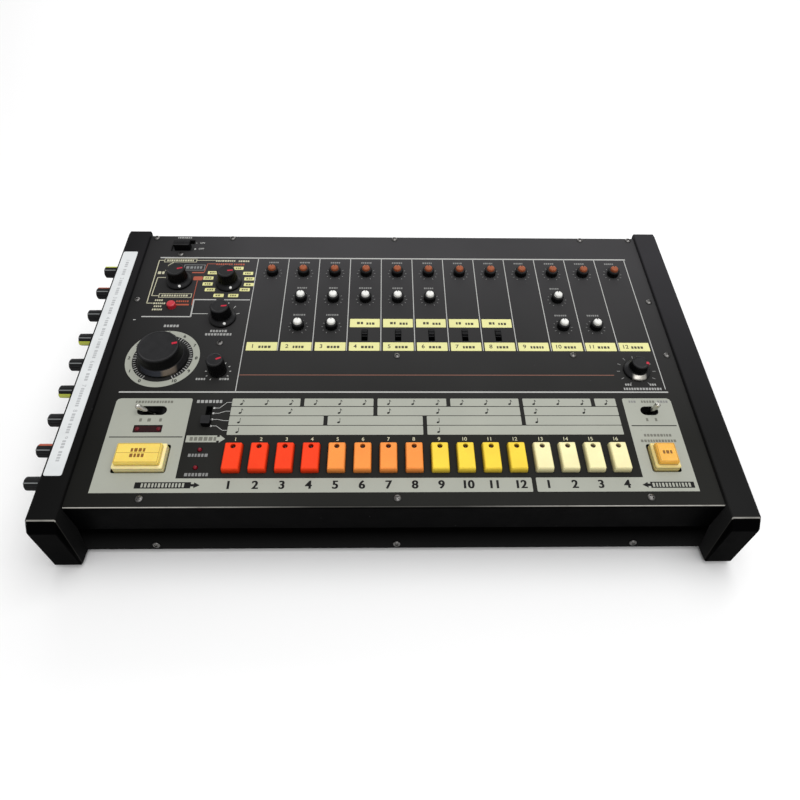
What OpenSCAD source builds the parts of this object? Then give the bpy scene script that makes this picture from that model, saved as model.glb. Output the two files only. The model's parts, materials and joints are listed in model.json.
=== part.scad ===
// Drum machine: a sloping control panel between two hollow side cheeks, with
// twelve channels of small knobs, a tempo dial, sixteen step keys and a row of
// sockets at the back.  Millimetres, +Z up, the player sits on the -Y side.
// The origin lies under the middle of the bounding box, on the table.

/* [Case] */
// Width over the two side cheeks
case_w = 508; // [500:1:540]
// Depth from the noses of the cheeks to their backs
case_d = 305; // [300:1:330]
// Height of the cheeks' back top corners above the table
case_h = 105; // [98:1:120]
// Height of the cheeks' front top edges above the table
front_h = 60; // [56:0.5:66]
// Height of the feet, which is the gap under the case
foot_h = 3; // [2:0.5:8]
// Diameter of a foot
foot_d = 20; // [14:1:26]
// Thickness of the steel sheet
sheet = 1.2; // [1:0.1:2]
// Outside radius of the bends in the steel sheet
bend_r = 2.6; // [2.2:0.1:4]
// How far the front of the case leans back at half height
front_lean = 3.3; // [1:0.1:5]
// Height of the seam between the panel's front wall and the lower tray
seam_h = 28; // [24:0.5:38]

/* [Cheeks] */
// Thickness of a cheek
cheek_t = 21; // [19:0.5:26]
// Wall of the hollow cheek mouldings
cheek_wall = 3; // [2.5:0.1:4]
// How far the nose stands ahead of the front top edge
nose_reach = 6; // [3:0.5:9]
// How far the nose lies below the front top edge
nose_drop = 8.5; // [6:0.5:12]
// How far the bottom of the nose is set back
nose_tuck = 4; // [2:0.5:8]
// Radius of the cheek's corners, seen from the side
cheek_r = 2.4; // [1.4:0.1:3]
// Bevel along the cheek's outer edges
cheek_bevel = 1.8; // [0.8:0.1:2.4]
// Number of cells between the ribs inside a cheek
cheek_cells = 8; // [7:1:10]
// Thickness of the ribs inside a cheek
rib_t = 2.4; // [1.5:0.1:4]
// Width of the label strip on the left cheek
strip_w = 13; // [9:0.5:15]
// Length of the label strip
strip_len = 237; // [200:1:250]
// Thickness of the label strip
strip_t = 0.4; // [0.2:0.1:0.8]

/* [Panel] */
// Depth of the panel below the tops of the cheeks
panel_drop = 3; // [1:0.5:6]
// Distance from the cheeks' front top edges to the panel's front bend
lip_set = 10; // [8:0.5:14]
// Diameter of the heads of the panel screws
screw_head_d = 5.6; // [4.5:0.1:6.5]
// Diameter of the panel screws
screw_d = 3; // [2.5:0.1:3.5]

/* [Channels] */
// Place of the first channel, to the right of the middle
channel_u = -111.8; // [-113:0.1:-110]
// Distance between channels
channel_pitch = 28.5; // [27.5:0.1:28.6]
// Place of the row of level knobs, up the panel
level_v = 236.5; // [233:0.5:240]
// Place of the row of tone knobs
tone_v = 203.5; // [200:0.5:206]
// Place of the row of decay knobs
decay_v = 170.5; // [168:0.5:173]
// Diameter of the small knobs
small_knob_d = 10.6; // [9.6:0.1:12]
// Height of the small knobs
small_knob_h = 8.4; // [7.6:0.1:11]
// Diameter of the coloured caps on the small knobs
cap_d = 6.6; // [5.6:0.1:7.8]
// Place of the row of sound switches
sound_switch_v = 161; // [158:0.5:163]
// Length of a sound switch's slot
sound_slot_len = 13; // [11:0.5:15]
// Width of a sound switch's slot
sound_slot_w = 5.4; // [4.6:0.1:7]
// Travel of a sound switch
sound_travel = 5; // [3:0.5:6]

/* [Large knobs] */
// Diameter of the tempo dial's skirt
tempo_d = 41; // [39:0.5:46]
// Diameter of the tempo dial's grip
tempo_grip_d = 35; // [30:0.5:36]
// Height of the tempo dial
tempo_h = 16; // [12:0.5:20]
// Diameter of the skirts of the mode, instrument and fill knobs
skirt_d = 23; // [21:0.1:24]
// Diameter of the grips on those skirts
grip_d = 16.4; // [14:0.2:17]
// Height of the skirted knobs
skirted_h = 15.5; // [12:0.5:18]
// Diameter of the fine tempo knob
fine_d = 14.4; // [12:0.2:18]
// Height of the fine tempo knob
fine_h = 15; // [11:0.5:18]
// Diameter of the master volume knob's skirt
volume_d = 21.5; // [19:0.5:25]
// Diameter of the master volume knob's grip
volume_grip_d = 14; // [11:0.5:16]
// Height of the master volume knob
volume_h = 12; // [10:0.5:16]
// Diameter of the spindles under all knobs
spindle_d = 6; // [5:0.1:6.5]
// Gap round a spindle in its bushing
spindle_fit = 0.05; // [0.03:0.01:0.09]
// Wall of a spindle's bushing
bushing_wall = 0.6; // [0.4:0.1:1]
// Gap between a knob and the panel under it
knob_lift = 0.6; // [0.4:0.1:1]

/* [Side knobs] */
// How far the side knobs stand out of the left cheek
side_reach = 13.5; // [11:0.5:18]
// Diameter of the side knobs
side_knob_d = 10.4; // [8:0.2:12]
// Place of the first side knob, from the front
side_v = 23.3; // [20:0.1:26]
// Distance between side knobs
side_pitch = 27.6; // [26:0.1:28]
// Depth of the side knobs' axes below the top of the cheek
side_depth = 10; // [9:0.5:14]

/* [Step keys] */
// Place of the first step key
key_u = -120.6; // [-121.5:0.1:-118]
// Distance between step keys
key_pitch = 19.05; // [18:0.05:19.1]
// Width of a step key
key_w = 13.2; // [12:0.1:16]
// Front to back length of a step key
key_len = 24.3; // [21:0.1:26]
// Place of the middle of the step keys, up the panel
key_v = 39.9; // [38:0.1:41]
// Height of a step key above the panel, at its front
key_h = 5; // [3.5:0.1:6]
// How much lower a step key is at its back
key_fall = 1; // [0.2:0.1:1.6]
// Travel of a step key
key_travel = 2.2; // [1:0.1:2.6]
// Diameter of the lamps in the keys
lamp_d = 3.2; // [2:0.1:4]

/* [Buttons and switches] */
// Width of the start and stop button
start_w = 36.4; // [32:0.4:40]
// Front to back length of the start and stop button
start_len = 21.2; // [18:0.2:23]
// Width of the tap button
tap_w = 18.6; // [16:0.2:21]
// Front to back length of the tap button
tap_len = 21; // [18:0.5:23]
// Gap between these buttons and the edges of their holes
button_gap = 1.2; // [0.6:0.1:1.6]
// Height of both large buttons above the panel
button_h = 8.6; // [7:0.2:9.4]
// Travel of both large buttons
button_travel = 3; // [2:0.1:3.5]
// Diameter of the clear button
clear_d = 7.6; // [6:0.1:9]
// Length of a toggle lever, from its pivot to its tip
lever_len = 17; // [14:0.5:19]
// Lean of the variation lever to the left
variation_lean = 38; // [20:1:39]
// Lean of the fill lever to the right
fill_lean = 15.5; // [10:0.5:19]
// Length of the scale switch's slot
scale_slot_len = 19.4; // [17:0.2:21]
// Width of the scale switch's slot
scale_slot_w = 5; // [4.6:0.1:6]
// Distance between two of the scale switch's four places
scale_step = 3.9; // [3:0.1:4.2]
// Width of the power switch's slot
power_slot_w = 20.6; // [17:0.2:22]
// Front to back length of the power switch's slot
power_slot_len = 16; // [14:0.5:17]
// Travel of the power switch
power_travel = 4; // [3:0.5:4.5]
// Width of the power switch's grip
power_grip_w = 15; // [12:0.5:16]

/* [Inside and back] */
// Depth of the control board below the panel
board_depth = 13; // [13:0.5:16]
// Thickness of the circuit boards
board_t = 1.6; // [1.2:0.1:2]
// Number of sockets in the row at the back
socket_count = 14; // [8:1:14]
// Distance between sockets
socket_pitch = 25; // [23:0.5:27]
// Bore of a socket
socket_d = 6.5; // [6.3:0.1:6.6]
// Depth of a socket's bore
socket_depth = 22; // [16:1:28]
// Width of the transformer's core
core_w = 62; // [50:1:70]
// Height of the transformer's core
core_h = 46; // [38:1:50]
// Thickness of the transformer's stack
core_t = 26; // [20:1:34]

/* [Hidden] */
channel_count = 12;
side_count = 9;
key_count = 16;
keys_in_group = 4;
tone_channels = [2, 3, 4, 5, 6, 10];
decay_channels = [2, 3, 10, 11];
switch_channels = [4, 5, 6, 7, 8];
group_names = ["red", "orange", "yellow", "cream"];
group_colours = ["orangered", "darkorange", "gold", "cornsilk"];

// Shape of the case
slope = atan((case_h - front_h) / (case_d - nose_reach));
back_set = 2.5;
seat = 0.2;
clear = 0.4;
wall_y = case_d - back_set - sheet - seat;
half_in = case_w / 2 - cheek_t;
panel_half = half_in - clear;
rear_flange = 13;
side_row_u = half_in - 6;
rail_w = 11;
arc_steps = 5;

// A point [y, z] on the panel's slope: v up the slope, h above the panel
function on_slope(v, h = 0) = [
    nose_reach + (lip_set + v) * cos(slope) - (h - panel_drop) * sin(slope),
    front_h + (lip_set + v) * sin(slope) + (h - panel_drop) * cos(slope)
];
function under_panel(y) = front_h + (y - nose_reach) * tan(slope) - (panel_drop + sheet) / cos(slope);
lip = on_slope(0);
panel_len = (case_d - back_set - lip[0]) / cos(slope);
panel_end = on_slope(panel_len);

// The panel that the controls' places are drawn for, as [half its width, its length];
// they keep their shares of a wider, narrower, longer or shorter one
drawn_for = [232.6, 289.388];
across_share = panel_half / drawn_for[0];
along_share = panel_len / drawn_for[1];
function place(u, v) = [u * across_share, v * along_share];

// Places of the single controls, right of the middle and up the panel
tempo_at = place(-190.5, 134.7);
mode_at = place(-194.4, 225.1);
instrument_at = place(-149.8, 223.2);
fill_at = place(-148.8, 179.8);
fine_at = place(-143.8, 121.6);
volume_at = place(197.2, 122);
clear_at = place(-195.3, 194.3);
power_at = place(-200.1, 273.8);
variation_at = place(-188.3, 82.8);
fill_lever_at = place(198.2, 82.4);
scale_at = place(-144.7, 77.4);
start_at = place(-187, 39.8);
tap_at = place(198.3, 39.6);
variation_window_at = place(-188, 66);
part_lamps_at = [place(-145.7, 47.4), place(-146.3, 32.2)];

// Vectors, rounded corners and offsets in a plane
function unit(v) = v / norm(v);
function left_of(v) = [-v[1], v[0]];
function turn(a) = a > 180 ? a - 360 : a < -180 ? a + 360 : a;
function corner(a, b, c, r) =
    let (u = unit(a - b), w = unit(c - b), half = acos(u * w) / 2)
    let (mid = b + unit(u + w) * r / sin(half), near = b + u * r / tan(half))
    let (far = b + w * r / tan(half), start = atan2(near[1] - mid[1], near[0] - mid[0]))
    let (sweep = turn(atan2(far[1] - mid[1], far[0] - mid[0]) - start))
    let (step = sweep / arc_steps)
    [for (i = [0:arc_steps]) mid + r * [cos(start + step * i), sin(start + step * i)]];
function rounded_path(p, r) = concat(
    [p[0]],
    [for (i = [1:len(p) - 2]) each corner(p[i - 1], p[i], p[i + 1], r)],
    [p[len(p) - 1]]
);
function rounded_loop(p, r) =
    let (n = len(p)) [for (i = [0:n - 1]) each corner(p[(i + n - 1) % n], p[i], p[(i + 1) % n], r)];
function moved_corner(a, b, c, d) =
    let (m = left_of(unit(b - a)), n = left_of(unit(c - b))) b + (m + n) * d / (1 + m * n);
function moved_path(p, d) = concat(
    [p[0] + left_of(unit(p[1] - p[0])) * d],
    [for (i = [1:len(p) - 2]) moved_corner(p[i - 1], p[i], p[i + 1], d)],
    [p[len(p) - 1] + left_of(unit(p[len(p) - 1] - p[len(p) - 2])) * d]
);
function moved_loop(p, d) =
    let (n = len(p)) [for (i = [0:n - 1]) moved_corner(p[(i + n - 1) % n], p[i], p[(i + 1) % n], d)];
function backwards(p) = [for (i = [len(p) - 1:-1:0]) p[i]];
// Section of a bent sheet whose outer face follows a path that keeps its inside on the left
function bent_sheet(p, r, t) = concat(rounded_path(p, r), backwards(rounded_path(moved_path(p, t), r - t)));
function box_outline(w, d) = [[-w / 2, -d / 2], [w / 2, -d / 2], [w / 2, d / 2], [-w / 2, d / 2]];

function channel_at(n, v) = place(channel_u + (n - 1) * channel_pitch, v);
function key_at(n, v) = place(key_u + (n - 1) * key_pitch, v);
function side_at(n) = (side_v + (side_count - n) * side_pitch) * along_share;

// From the case's own corner to the frame's origin
module in_frame() {
    translate([side_reach / 2, -case_d / 2, 0]) children();
}

// Puts a child on the panel, its Z square to the panel
module on_panel(at = [0, 0], h = 0) {
    translate([0, nose_reach, front_h])
        rotate([slope, 0, 0])
            translate([at[0], lip_set + at[1], h - panel_drop]) children();
}

// Pushes an outline, drawn as [y, z], along X
module across(from, length) {
    translate([from, 0, 0])
        rotate([90, 0, 90])
            linear_extrude(height = length) children();
}

// Block with rounded upright edges, standing from bottom to top
module rounded_block(w, d, r, bottom, top) {
    translate([0, 0, bottom])
        linear_extrude(height = top - bottom) polygon(rounded_loop(box_outline(w, d), r));
}

// Slot with round ends along X
module slot(len, w, bottom, top) {
    translate([-(len - w) / 2, -w / 2, bottom]) cube([len - w, w, top - bottom]);
    for (side = [-1, 1])
        translate([side * (len - w) / 2, 0, bottom]) cylinder(d = w, h = top - bottom, $fn = 48);
}

// ---- Case -------------------------------------------------------------

// Front wall, top and back flange of the panel, seen from the side
panel_path = [
    [lip[0] + front_lean, seam_h],
    lip,
    panel_end,
    [panel_end[0], panel_end[1] - rear_flange]
];
// The lower tray: front band, floor and back wall
tray_path = [
    [wall_y, panel_end[1] - bend_r],
    [wall_y, foot_h],
    [lip[0], foot_h],
    [lip[0] + front_lean, seam_h - clear]
];
// Side wall of the tray, which stands under the panel
tray_side = [
    [lip[0] + 1, foot_h + 1],
    [wall_y - 1, foot_h + 1],
    [wall_y - 1, under_panel(wall_y - 1)],
    on_slope(3 + sheet + clear, -sheet),
    [lip[0] + front_lean + sheet + clear, seam_h],
    [lip[0] + front_lean, seam_h - clear]
];

bushing_d = spindle_d + 2 * (spindle_fit + bushing_wall);
knob_hole_d = bushing_d + seat;
screw_hole_d = screw_d + 2 * seat;
lamp_hole_d = lamp_d + 2 * clear;
small_places = concat(
    [for (n = [1:channel_count]) channel_at(n, level_v)],
    [for (n = tone_channels) channel_at(n, tone_v)],
    [for (n = decay_channels) channel_at(n, decay_v)]
);
large_places = [tempo_at, mode_at, instrument_at, fill_at, fine_at, volume_at];
front_row_v = 7;
front_rail_v = 4;
rear_row_v = panel_len - 5;
panel_screw_places = [
    for (u = [-155, 0, 180]) [u * across_share, rear_row_v],
    for (u = [-181, 0, 181]) [u * across_share, front_row_v],
    for (side = [-1, 1]) [side * side_row_u, rear_row_v],
    for (at = [[-1, 202], [1, 201], [1, 139]]) [at[0] * side_row_u, at[1] * along_share],
    place(-200, 261.5), place(-147, 151.5), place(1, 138), place(148, 139)
];
post_places = [
    for (at = panel_screw_places) if (abs(at[0]) < side_row_u && at[1] > 2 * rail_w && at[1] < rear_row_v) at
];
band_screw_u = [for (side = [-1:1]) side * 180 * across_share];
band_screw_z = 10;
band_lean = atan(front_lean / (seam_h - clear - foot_h));
window_w = 20.8;
window_len = 6;
lever_slots = [[variation_at, 22.2, 8], [fill_lever_at, 13.6, 7.8]];

module button_hole(w, d) {
    rounded_block(w + 2 * button_gap, d + 2 * button_gap, 1.6, -2 * sheet, sheet);
}

module panel_cuts() {
    for (at = concat(small_places, large_places))
        on_panel(at, -2 * sheet) cylinder(d = knob_hole_d, h = 3 * sheet, $fn = 48);
    for (at = panel_screw_places) on_panel(at, -2 * sheet) cylinder(d = screw_hole_d, h = 3 * sheet, $fn = 32);
    for (n = [1:key_count])
        on_panel(key_at(n, key_v)) rounded_block(key_w + 2 * clear, key_len + 2 * clear, 1.4, -2 * sheet, sheet);
    for (n = switch_channels)
        on_panel(channel_at(n, sound_switch_v))
            rounded_block(sound_slot_w, sound_slot_len, 0.5, -2 * sheet, sheet);
    on_panel(scale_at) rounded_block(scale_slot_w, scale_slot_len, 0.5, -2 * sheet, sheet);
    on_panel(power_at) rounded_block(power_slot_w, power_slot_len, 0.6, -2 * sheet, sheet);
    on_panel(start_at) button_hole(start_w, start_len);
    on_panel(tap_at) button_hole(tap_w, tap_len);
    on_panel(clear_at, -2 * sheet) cylinder(d = clear_d + 2 * clear, h = 3 * sheet, $fn = 48);
    on_panel(variation_window_at) rounded_block(window_w, window_len, 0.5, -2 * sheet, sheet);
    for (at = part_lamps_at) on_panel(at, -2 * sheet) cylinder(d = lamp_hole_d, h = 3 * sheet, $fn = 32);
    for (s = lever_slots) on_panel(s[0]) slot(s[1], s[2], -2 * sheet, sheet);
}

module control_panel() {
    in_frame() color("dimgray") difference() {
        across(-panel_half, 2 * panel_half) polygon(bent_sheet(backwards(panel_path), bend_r, sheet));
        panel_cuts();
    }
}

socket_z = 48;
socket_block_w = socket_pitch - 0.6;
socket_block_h = 17;
socket_row_w = socket_count * socket_pitch;
socket_row_u = half_in - 22 - socket_row_w / 2;
gland_u = -half_in + 30;
gland_w = 12;
cord_hole_d = 7;

// Puts a child on the tray's front band, its Z pointing out of it
module on_band(u) {
    translate([u, lip[0] + (band_screw_z - foot_h) * tan(band_lean), band_screw_z])
        rotate([90 - band_lean, 0, 0]) children();
}

// Flanges along the tray's sides, back and front, which carry the panel
module tray_flanges() {
    back_end = panel_len - bend_r - 0.5;
    for (u = [-half_in, half_in - rail_w])
        on_panel([u, front_rail_v], -2 * sheet) cube([rail_w, back_end - front_rail_v, sheet]);
    on_panel([-half_in, back_end - rail_w], -2 * sheet) cube([2 * half_in, rail_w, sheet]);
    on_panel([-half_in, front_rail_v], -2 * sheet) cube([2 * half_in, rail_w, sheet]);
}

module chassis() {
    in_frame() color("darkslategray") difference() {
        union() {
            across(-half_in, 2 * half_in) polygon(bent_sheet(backwards(tray_path), bend_r, sheet));
            for (from = [-half_in, half_in - sheet]) across(from, sheet) polygon(tray_side);
            tray_flanges();
        }
        translate([socket_row_u - socket_row_w / 2, wall_y - 3 * sheet, socket_z - socket_block_h / 2])
            cube([socket_row_w, 4 * sheet, socket_block_h]);
        translate([gland_u - gland_w / 2 - seat, wall_y - 3 * sheet, socket_z - gland_w / 2 - seat])
            cube([gland_w + 2 * seat, 4 * sheet, gland_w + 2 * seat]);
        on_panel(power_at, -3 * sheet)
            translate([-power_slot_w / 2 - 2, -power_slot_len / 2 - 2, 0])
                cube([power_slot_w + 4, power_slot_len + 4, 3 * sheet]);
        for (at = panel_screw_places)
            on_panel(at, -3 * sheet) cylinder(d = screw_d + seat, h = 3 * sheet, $fn = 32);
        for (u = band_screw_u)
            on_band(u) translate([0, 0, -2 * sheet]) cylinder(d = screw_hole_d, h = 3 * sheet, $fn = 32);
    }
}

// Side view of a cheek
cheek_outline = [
    [nose_tuck, foot_h],
    [case_d, foot_h],
    [case_d, case_h],
    [nose_reach, front_h],
    [0, front_h - nose_drop]
];
function cheek_loop(inset) = rounded_loop(moved_loop(cheek_outline, inset), cheek_r - inset * 0.5);
// Side view of the cheek's hollow, which the tray's side wall covers
cheek_hollow = [
    [lip[0] + front_lean + 4, foot_h + cheek_wall],
    [wall_y - 3, foot_h + cheek_wall],
    [wall_y - 3, under_panel(wall_y - 3) - 1],
    [lip[0] + front_lean + 4, under_panel(lip[0] + front_lean + 4) - 1]
];

module cheek_skin(inset, from, to) {
    across(from, to - from) polygon(cheek_loop(inset));
}

// A cheek with its outer face at X = 0 and its open side at X = cheek_t
module cheek() {
    skin = 0.01;
    inner_bevel = 0.6;
    cell = (wall_y - lip[0]) / cheek_cells;
    difference() {
        hull() {
            cheek_skin(cheek_bevel, 0, skin);
            cheek_skin(0, cheek_bevel, cheek_t - inner_bevel);
            cheek_skin(inner_bevel, cheek_t - skin, cheek_t);
        }
        difference() {
            across(cheek_wall, cheek_t) polygon(cheek_hollow);
            for (i = [1:cheek_cells - 1])
                translate([0, lip[0] + i * cell - rib_t / 2, 0]) cube([cheek_t, rib_t, case_h]);
        }
    }
}

// Puts a child on the left cheek's face, its Z pointing left out of the cheek
module on_side(n, out = 0) {
    on_panel([-case_w / 2 - out, side_at(n)], panel_drop - side_depth) rotate([0, -90, 0]) children();
}

module left_cheek() {
    in_frame() color("black") difference() {
        translate([-case_w / 2, 0, 0]) cheek();
        for (n = [1:side_count]) {
            on_side(n, 1) translate([0, 0, -cheek_wall - 2])
                cylinder(d = bushing_d + seat, h = cheek_wall + 3, $fn = 48);
            on_side(n, -cheek_wall) translate([0, 0, -cheek_t])
                cylinder(d = side_pot_d + 2 * clear, h = cheek_t, $fn = 48);
        }
    }
}

module right_cheek() {
    in_frame() color("black") translate([case_w / 2, 0, 0]) mirror([1, 0, 0]) cheek();
}

// Pan head screw standing on Z = 0, with its shank below and a cross in its head
module screw(shank) {
    head_h = 0.3 * screw_head_d;
    cross_w = 0.15 * screw_head_d;
    cross_len = 0.58 * screw_head_d;
    difference() {
        rotate_extrude($fn = 48) polygon(concat(
            [[0, -shank], [screw_d / 2, -shank], [screw_d / 2, 0], [screw_head_d / 2, 0]],
            [for (a = [20:14:90]) [screw_head_d / 2 * cos(a) * 1.03, head_h * sin(a)]]
        ));
        for (a = [45, 135]) rotate([0, 0, a])
            translate([-cross_len / 2, -cross_w / 2, head_h * 0.35]) cube([cross_len, cross_w, head_h]);
    }
}

module panel_screws() {
    in_frame() color("silver") {
        for (at = panel_screw_places) on_panel(at) screw(3 * sheet - 0.1);
        for (u = band_screw_u) on_band(u) screw(2 * sheet - 0.1);
    }
}

foot_inset = [38, 30];
foot_places = [
    for (side = [-1, 1], y = [lip[0] + foot_inset[1], wall_y - foot_inset[1]]) [side * (half_in - foot_inset[0]), y]
];

module rubber_feet() {
    in_frame() color("darkgray") for (at = foot_places) translate([at[0], at[1], 0]) difference() {
        rotate_extrude($fn = 64) polygon([
            [0, 0], [foot_d / 2 - 1.2, 0], [foot_d / 2 - 0.4, 0.5], [foot_d / 2, foot_h], [0, foot_h]
        ]);
        translate([0, 0, -1]) cylinder(d = foot_d * 0.4, h = 1 + foot_h / 2, $fn = 48);
    }
}

strip_at = [-case_w / 2 + cheek_bevel + 0.6 + strip_w / 2, (24 + strip_len / 2) * along_share];

module label_strip() {
    in_frame() color("white") on_panel(strip_at, panel_drop)
        rounded_block(strip_w, strip_len * along_share, 1.5, 0, strip_t);
}

// ---- Inside -----------------------------------------------------------

key_lamp_v = key_v + key_len / 2 - 4;
small_pot_d = 15;
large_pot_d = 17;
side_pot_d = 10.4;
side_pot_h = 11;
pot_floor = 3;
key_foot = -board_depth + 5;
key_post_v = key_v - 3;
button_foot = -board_depth + 6;
slider_foot = -board_depth + 6;
lever_pivot = -6.5;
ball_r = 2.8;
post_w = 3.4;
post_top = -2;
post_hole_w = post_w + 2 * clear;
board_from = 22;
board_to = panel_len - 10;
board_w = 2 * (half_in - rail_w - 3);

// Domed lamp that starts on the board and ends at a height above the panel
module lamp(top) {
    translate([0, 0, -board_depth]) cylinder(d = lamp_d, h = board_depth + top - lamp_d / 2, $fn = 32);
    translate([0, 0, top - lamp_d / 2]) sphere(d = lamp_d, $fn = 32);
}

module lamps() {
    in_frame() color("darkred") {
        for (n = [1:key_count])
            on_panel(key_at(n, key_v) + [0, key_lamp_v - key_v]) lamp(key_h - key_fall - 0.8);
        for (at = part_lamps_at) on_panel(at) lamp(1.6);
        on_panel(variation_window_at)
            rounded_block(window_w - clear, window_len - clear, 0.4, -board_depth, -0.3);
    }
}

// Potentiometer hung under a wall, with the bushing that guides its spindle
module pot(d, h, wall) {
    difference() {
        union() {
            translate([0, 0, -wall - h]) cylinder(d = d, h = h, $fn = 48);
            translate([0, 0, -wall - 0.2]) cylinder(d = bushing_d, h = wall + 0.2, $fn = 48);
        }
        translate([0, 0, -wall - h + pot_floor])
            cylinder(d = spindle_d + 2 * spindle_fit, h = h + wall, $fn = 48);
    }
}

// Body of a switch on the board
module switch_body(w, d, top) {
    translate([-w / 2, -d / 2, -board_depth]) cube([w, d, board_depth + top]);
}

// Push switch: a body, and a post that guides the key or button above it
module push_switch(w, d, foot, travel) {
    switch_body(w, d, foot - travel - clear);
    switch_body(post_w, post_w, post_top - travel - clear);
}

// Slide switch: a body with a channel for the stem of its slider
module slide_switch(w, d, channel_w, channel_len) {
    difference() {
        switch_body(w, d, -sheet - clear);
        translate([-channel_w / 2, -channel_len / 2, slider_foot - clear])
            cube([channel_w, channel_len, board_depth]);
    }
}

// Toggle switch: a body with a socket for the lever's ball
module toggle_switch(w, d) {
    difference() {
        switch_body(w, d, -sheet - clear);
        translate([0, 0, lever_pivot]) {
            sphere(r = ball_r + 0.3, $fn = 48);
            cylinder(r1 = ball_r, r2 = ball_r + 6, h = 6, $fn = 48);
            translate([-w / 3, -2, -5.4]) cube([w / 1.5, 4, 5.4]);
        }
    }
}

module control_boards() {
    in_frame() color("darkgreen") {
        difference() {
            union() {
                on_panel([0, 0]) translate([-board_w / 2, board_from, -board_depth - board_t])
                    cube([board_w, board_to - board_from, board_t]);
                for (n = [1:key_count])
                    on_panel(key_at(n, key_v) + [0, key_post_v - key_v]) push_switch(10, 10, key_foot, key_travel);
                for (n = switch_channels)
                    on_panel(channel_at(n, sound_switch_v))
                        slide_switch(sound_slot_w + 4, sound_slot_len + 4, sound_slot_w, sound_slot_len);
                on_panel(scale_at)
                    slide_switch(scale_slot_w + 4, scale_slot_len + 4, scale_slot_w, scale_slot_len);
                on_panel(power_at)
                    slide_switch(power_slot_w + 3, power_slot_len + 3, power_slot_w, power_slot_len);
                for (s = lever_slots) on_panel(s[0]) toggle_switch(s[1], s[2] + 3);
                for (at = [start_at, tap_at]) on_panel(at) push_switch(14, 14, button_foot, button_travel);
                on_panel(clear_at) push_switch(9, 9, button_foot, button_travel);
                for (at = post_places)
                    on_panel(at, -board_depth) cylinder(d = 7, h = board_depth - sheet, $fn = 32);
            }
            for (at = post_places)
                on_panel(at, -board_depth + 1) cylinder(d = screw_d + seat, h = board_depth, $fn = 32);
        }
        for (at = small_places) on_panel(at) pot(small_pot_d, board_depth - sheet - 0.3, sheet);
        for (at = large_places) on_panel(at) pot(large_pot_d, board_depth - sheet - 0.3, sheet);
        for (n = [1:side_count]) on_side(n) pot(side_pot_d, side_pot_h, cheek_wall);
    }
}

// Laminated core on the tray's floor, with its winding
module power_transformer() {
    floor_z = foot_h + sheet;
    base = [-half_in + core_w, wall_y - 2 * core_t, floor_z];
    limb = core_h / 5;
    in_frame() color("peru") translate(base) {
        difference() {
            translate([-core_w / 2, -core_t / 2, 0]) cube([core_w, core_t, core_h]);
            for (side = [-1, 1])
                translate([side * core_w / 4 - core_w / 12, -core_t, limb])
                    cube([core_w / 6, 2 * core_t, core_h - 2 * limb]);
        }
        translate([0, 0, core_h / 2]) rotate([90, 0, 0])
            rounded_block(core_w * 0.64, core_h - 2 * limb - 0.8, 3, -core_t * 0.8, core_t * 0.8);
        for (side = [-1, 1]) translate([side * (core_w / 2 + 5), 0, 0]) difference() {
            translate([-6, -core_t / 2, 0]) cube([12, core_t, 2]);
            translate([side * 1.5, 0, -1]) cylinder(d = 4.2, h = 4, $fn = 32);
        }
    }
}

// One socket: square body in the wall's window, flange behind the wall, nut, collar and bore
module socket() {
    nut_d = 12;
    nut_h = 2.6;
    difference() {
        union() {
            translate([-socket_block_w / 2, -socket_depth - 3, -socket_block_h / 2 + seat])
                cube([socket_block_w, socket_depth + 3, socket_block_h - 2 * seat]);
            translate([-socket_block_w / 2, -sheet - 2, -socket_block_h / 2 - 2])
                cube([socket_block_w, 2, socket_block_h + 4]);
            rotate([-90, 0, 0]) cylinder(d = nut_d, h = nut_h, $fn = 6);
            rotate([-90, 0, 0]) cylinder(d = socket_d + 2, h = nut_h + 0.8, $fn = 48);
        }
        translate([0, nut_h + 0.8 - socket_depth, 0])
            rotate([-90, 0, 0]) cylinder(d = socket_d, h = socket_depth + 1, $fn = 48);
    }
}

// Bushing for the mains cord: square body with a flange outside the wall
module gland() {
    difference() {
        union() {
            translate([-gland_w / 2, -10, -gland_w / 2]) cube([gland_w, 10, gland_w]);
            translate([-gland_w / 2 - 2, 0, -gland_w / 2 - 2]) cube([gland_w + 4, 2, gland_w + 4]);
        }
        translate([0, -8, 0]) rotate([-90, 0, 0]) cylinder(d = cord_hole_d, h = 12, $fn = 48);
    }
}

module rear_sockets() {
    in_frame() color("gray") {
        for (i = [0:socket_count - 1])
            translate([socket_row_u + (i - (socket_count - 1) / 2) * socket_pitch, wall_y, socket_z])
                socket();
        translate([gland_u, wall_y, socket_z]) gland();
    }
}

// ---- Knobs ------------------------------------------------------------

spindle_down = board_depth - pot_floor - 1.3;

// Spindle with the flat underside of its knob
module turned(profile, r) {
    rotate_extrude($fn = 96) polygon(concat(
        [[0, -spindle_down], [spindle_d / 2, -spindle_down], [spindle_d / 2, knob_lift], [r, knob_lift]], profile
    ));
}

// Grooves round a knob's side
module flutes(r, depth, count, from, to) {
    for (i = [0:count - 1])
        rotate([0, 0, 360 / count * (i + 0.5)])
            translate([r + depth * 0.4, 0, from]) cylinder(r = depth * 1.4, h = to - from, $fn = 24);
}

module small_knob() {
    r = small_knob_d / 2;
    shoulder = small_knob_h - 2.4;
    difference() {
        turned([
            [r, shoulder - 0.9], [r - 0.5, shoulder - 0.2], [cap_d / 2 + 0.1, shoulder],
            [cap_d / 2, small_knob_h - 0.9], [cap_d / 2 - 0.5, small_knob_h - 0.3],
            [cap_d / 2 - 1.4, small_knob_h - 0.05], [0, small_knob_h]
        ], r);
        flutes(r, 0.5, 12, 0, shoulder - 1.2);
    }
}

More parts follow.
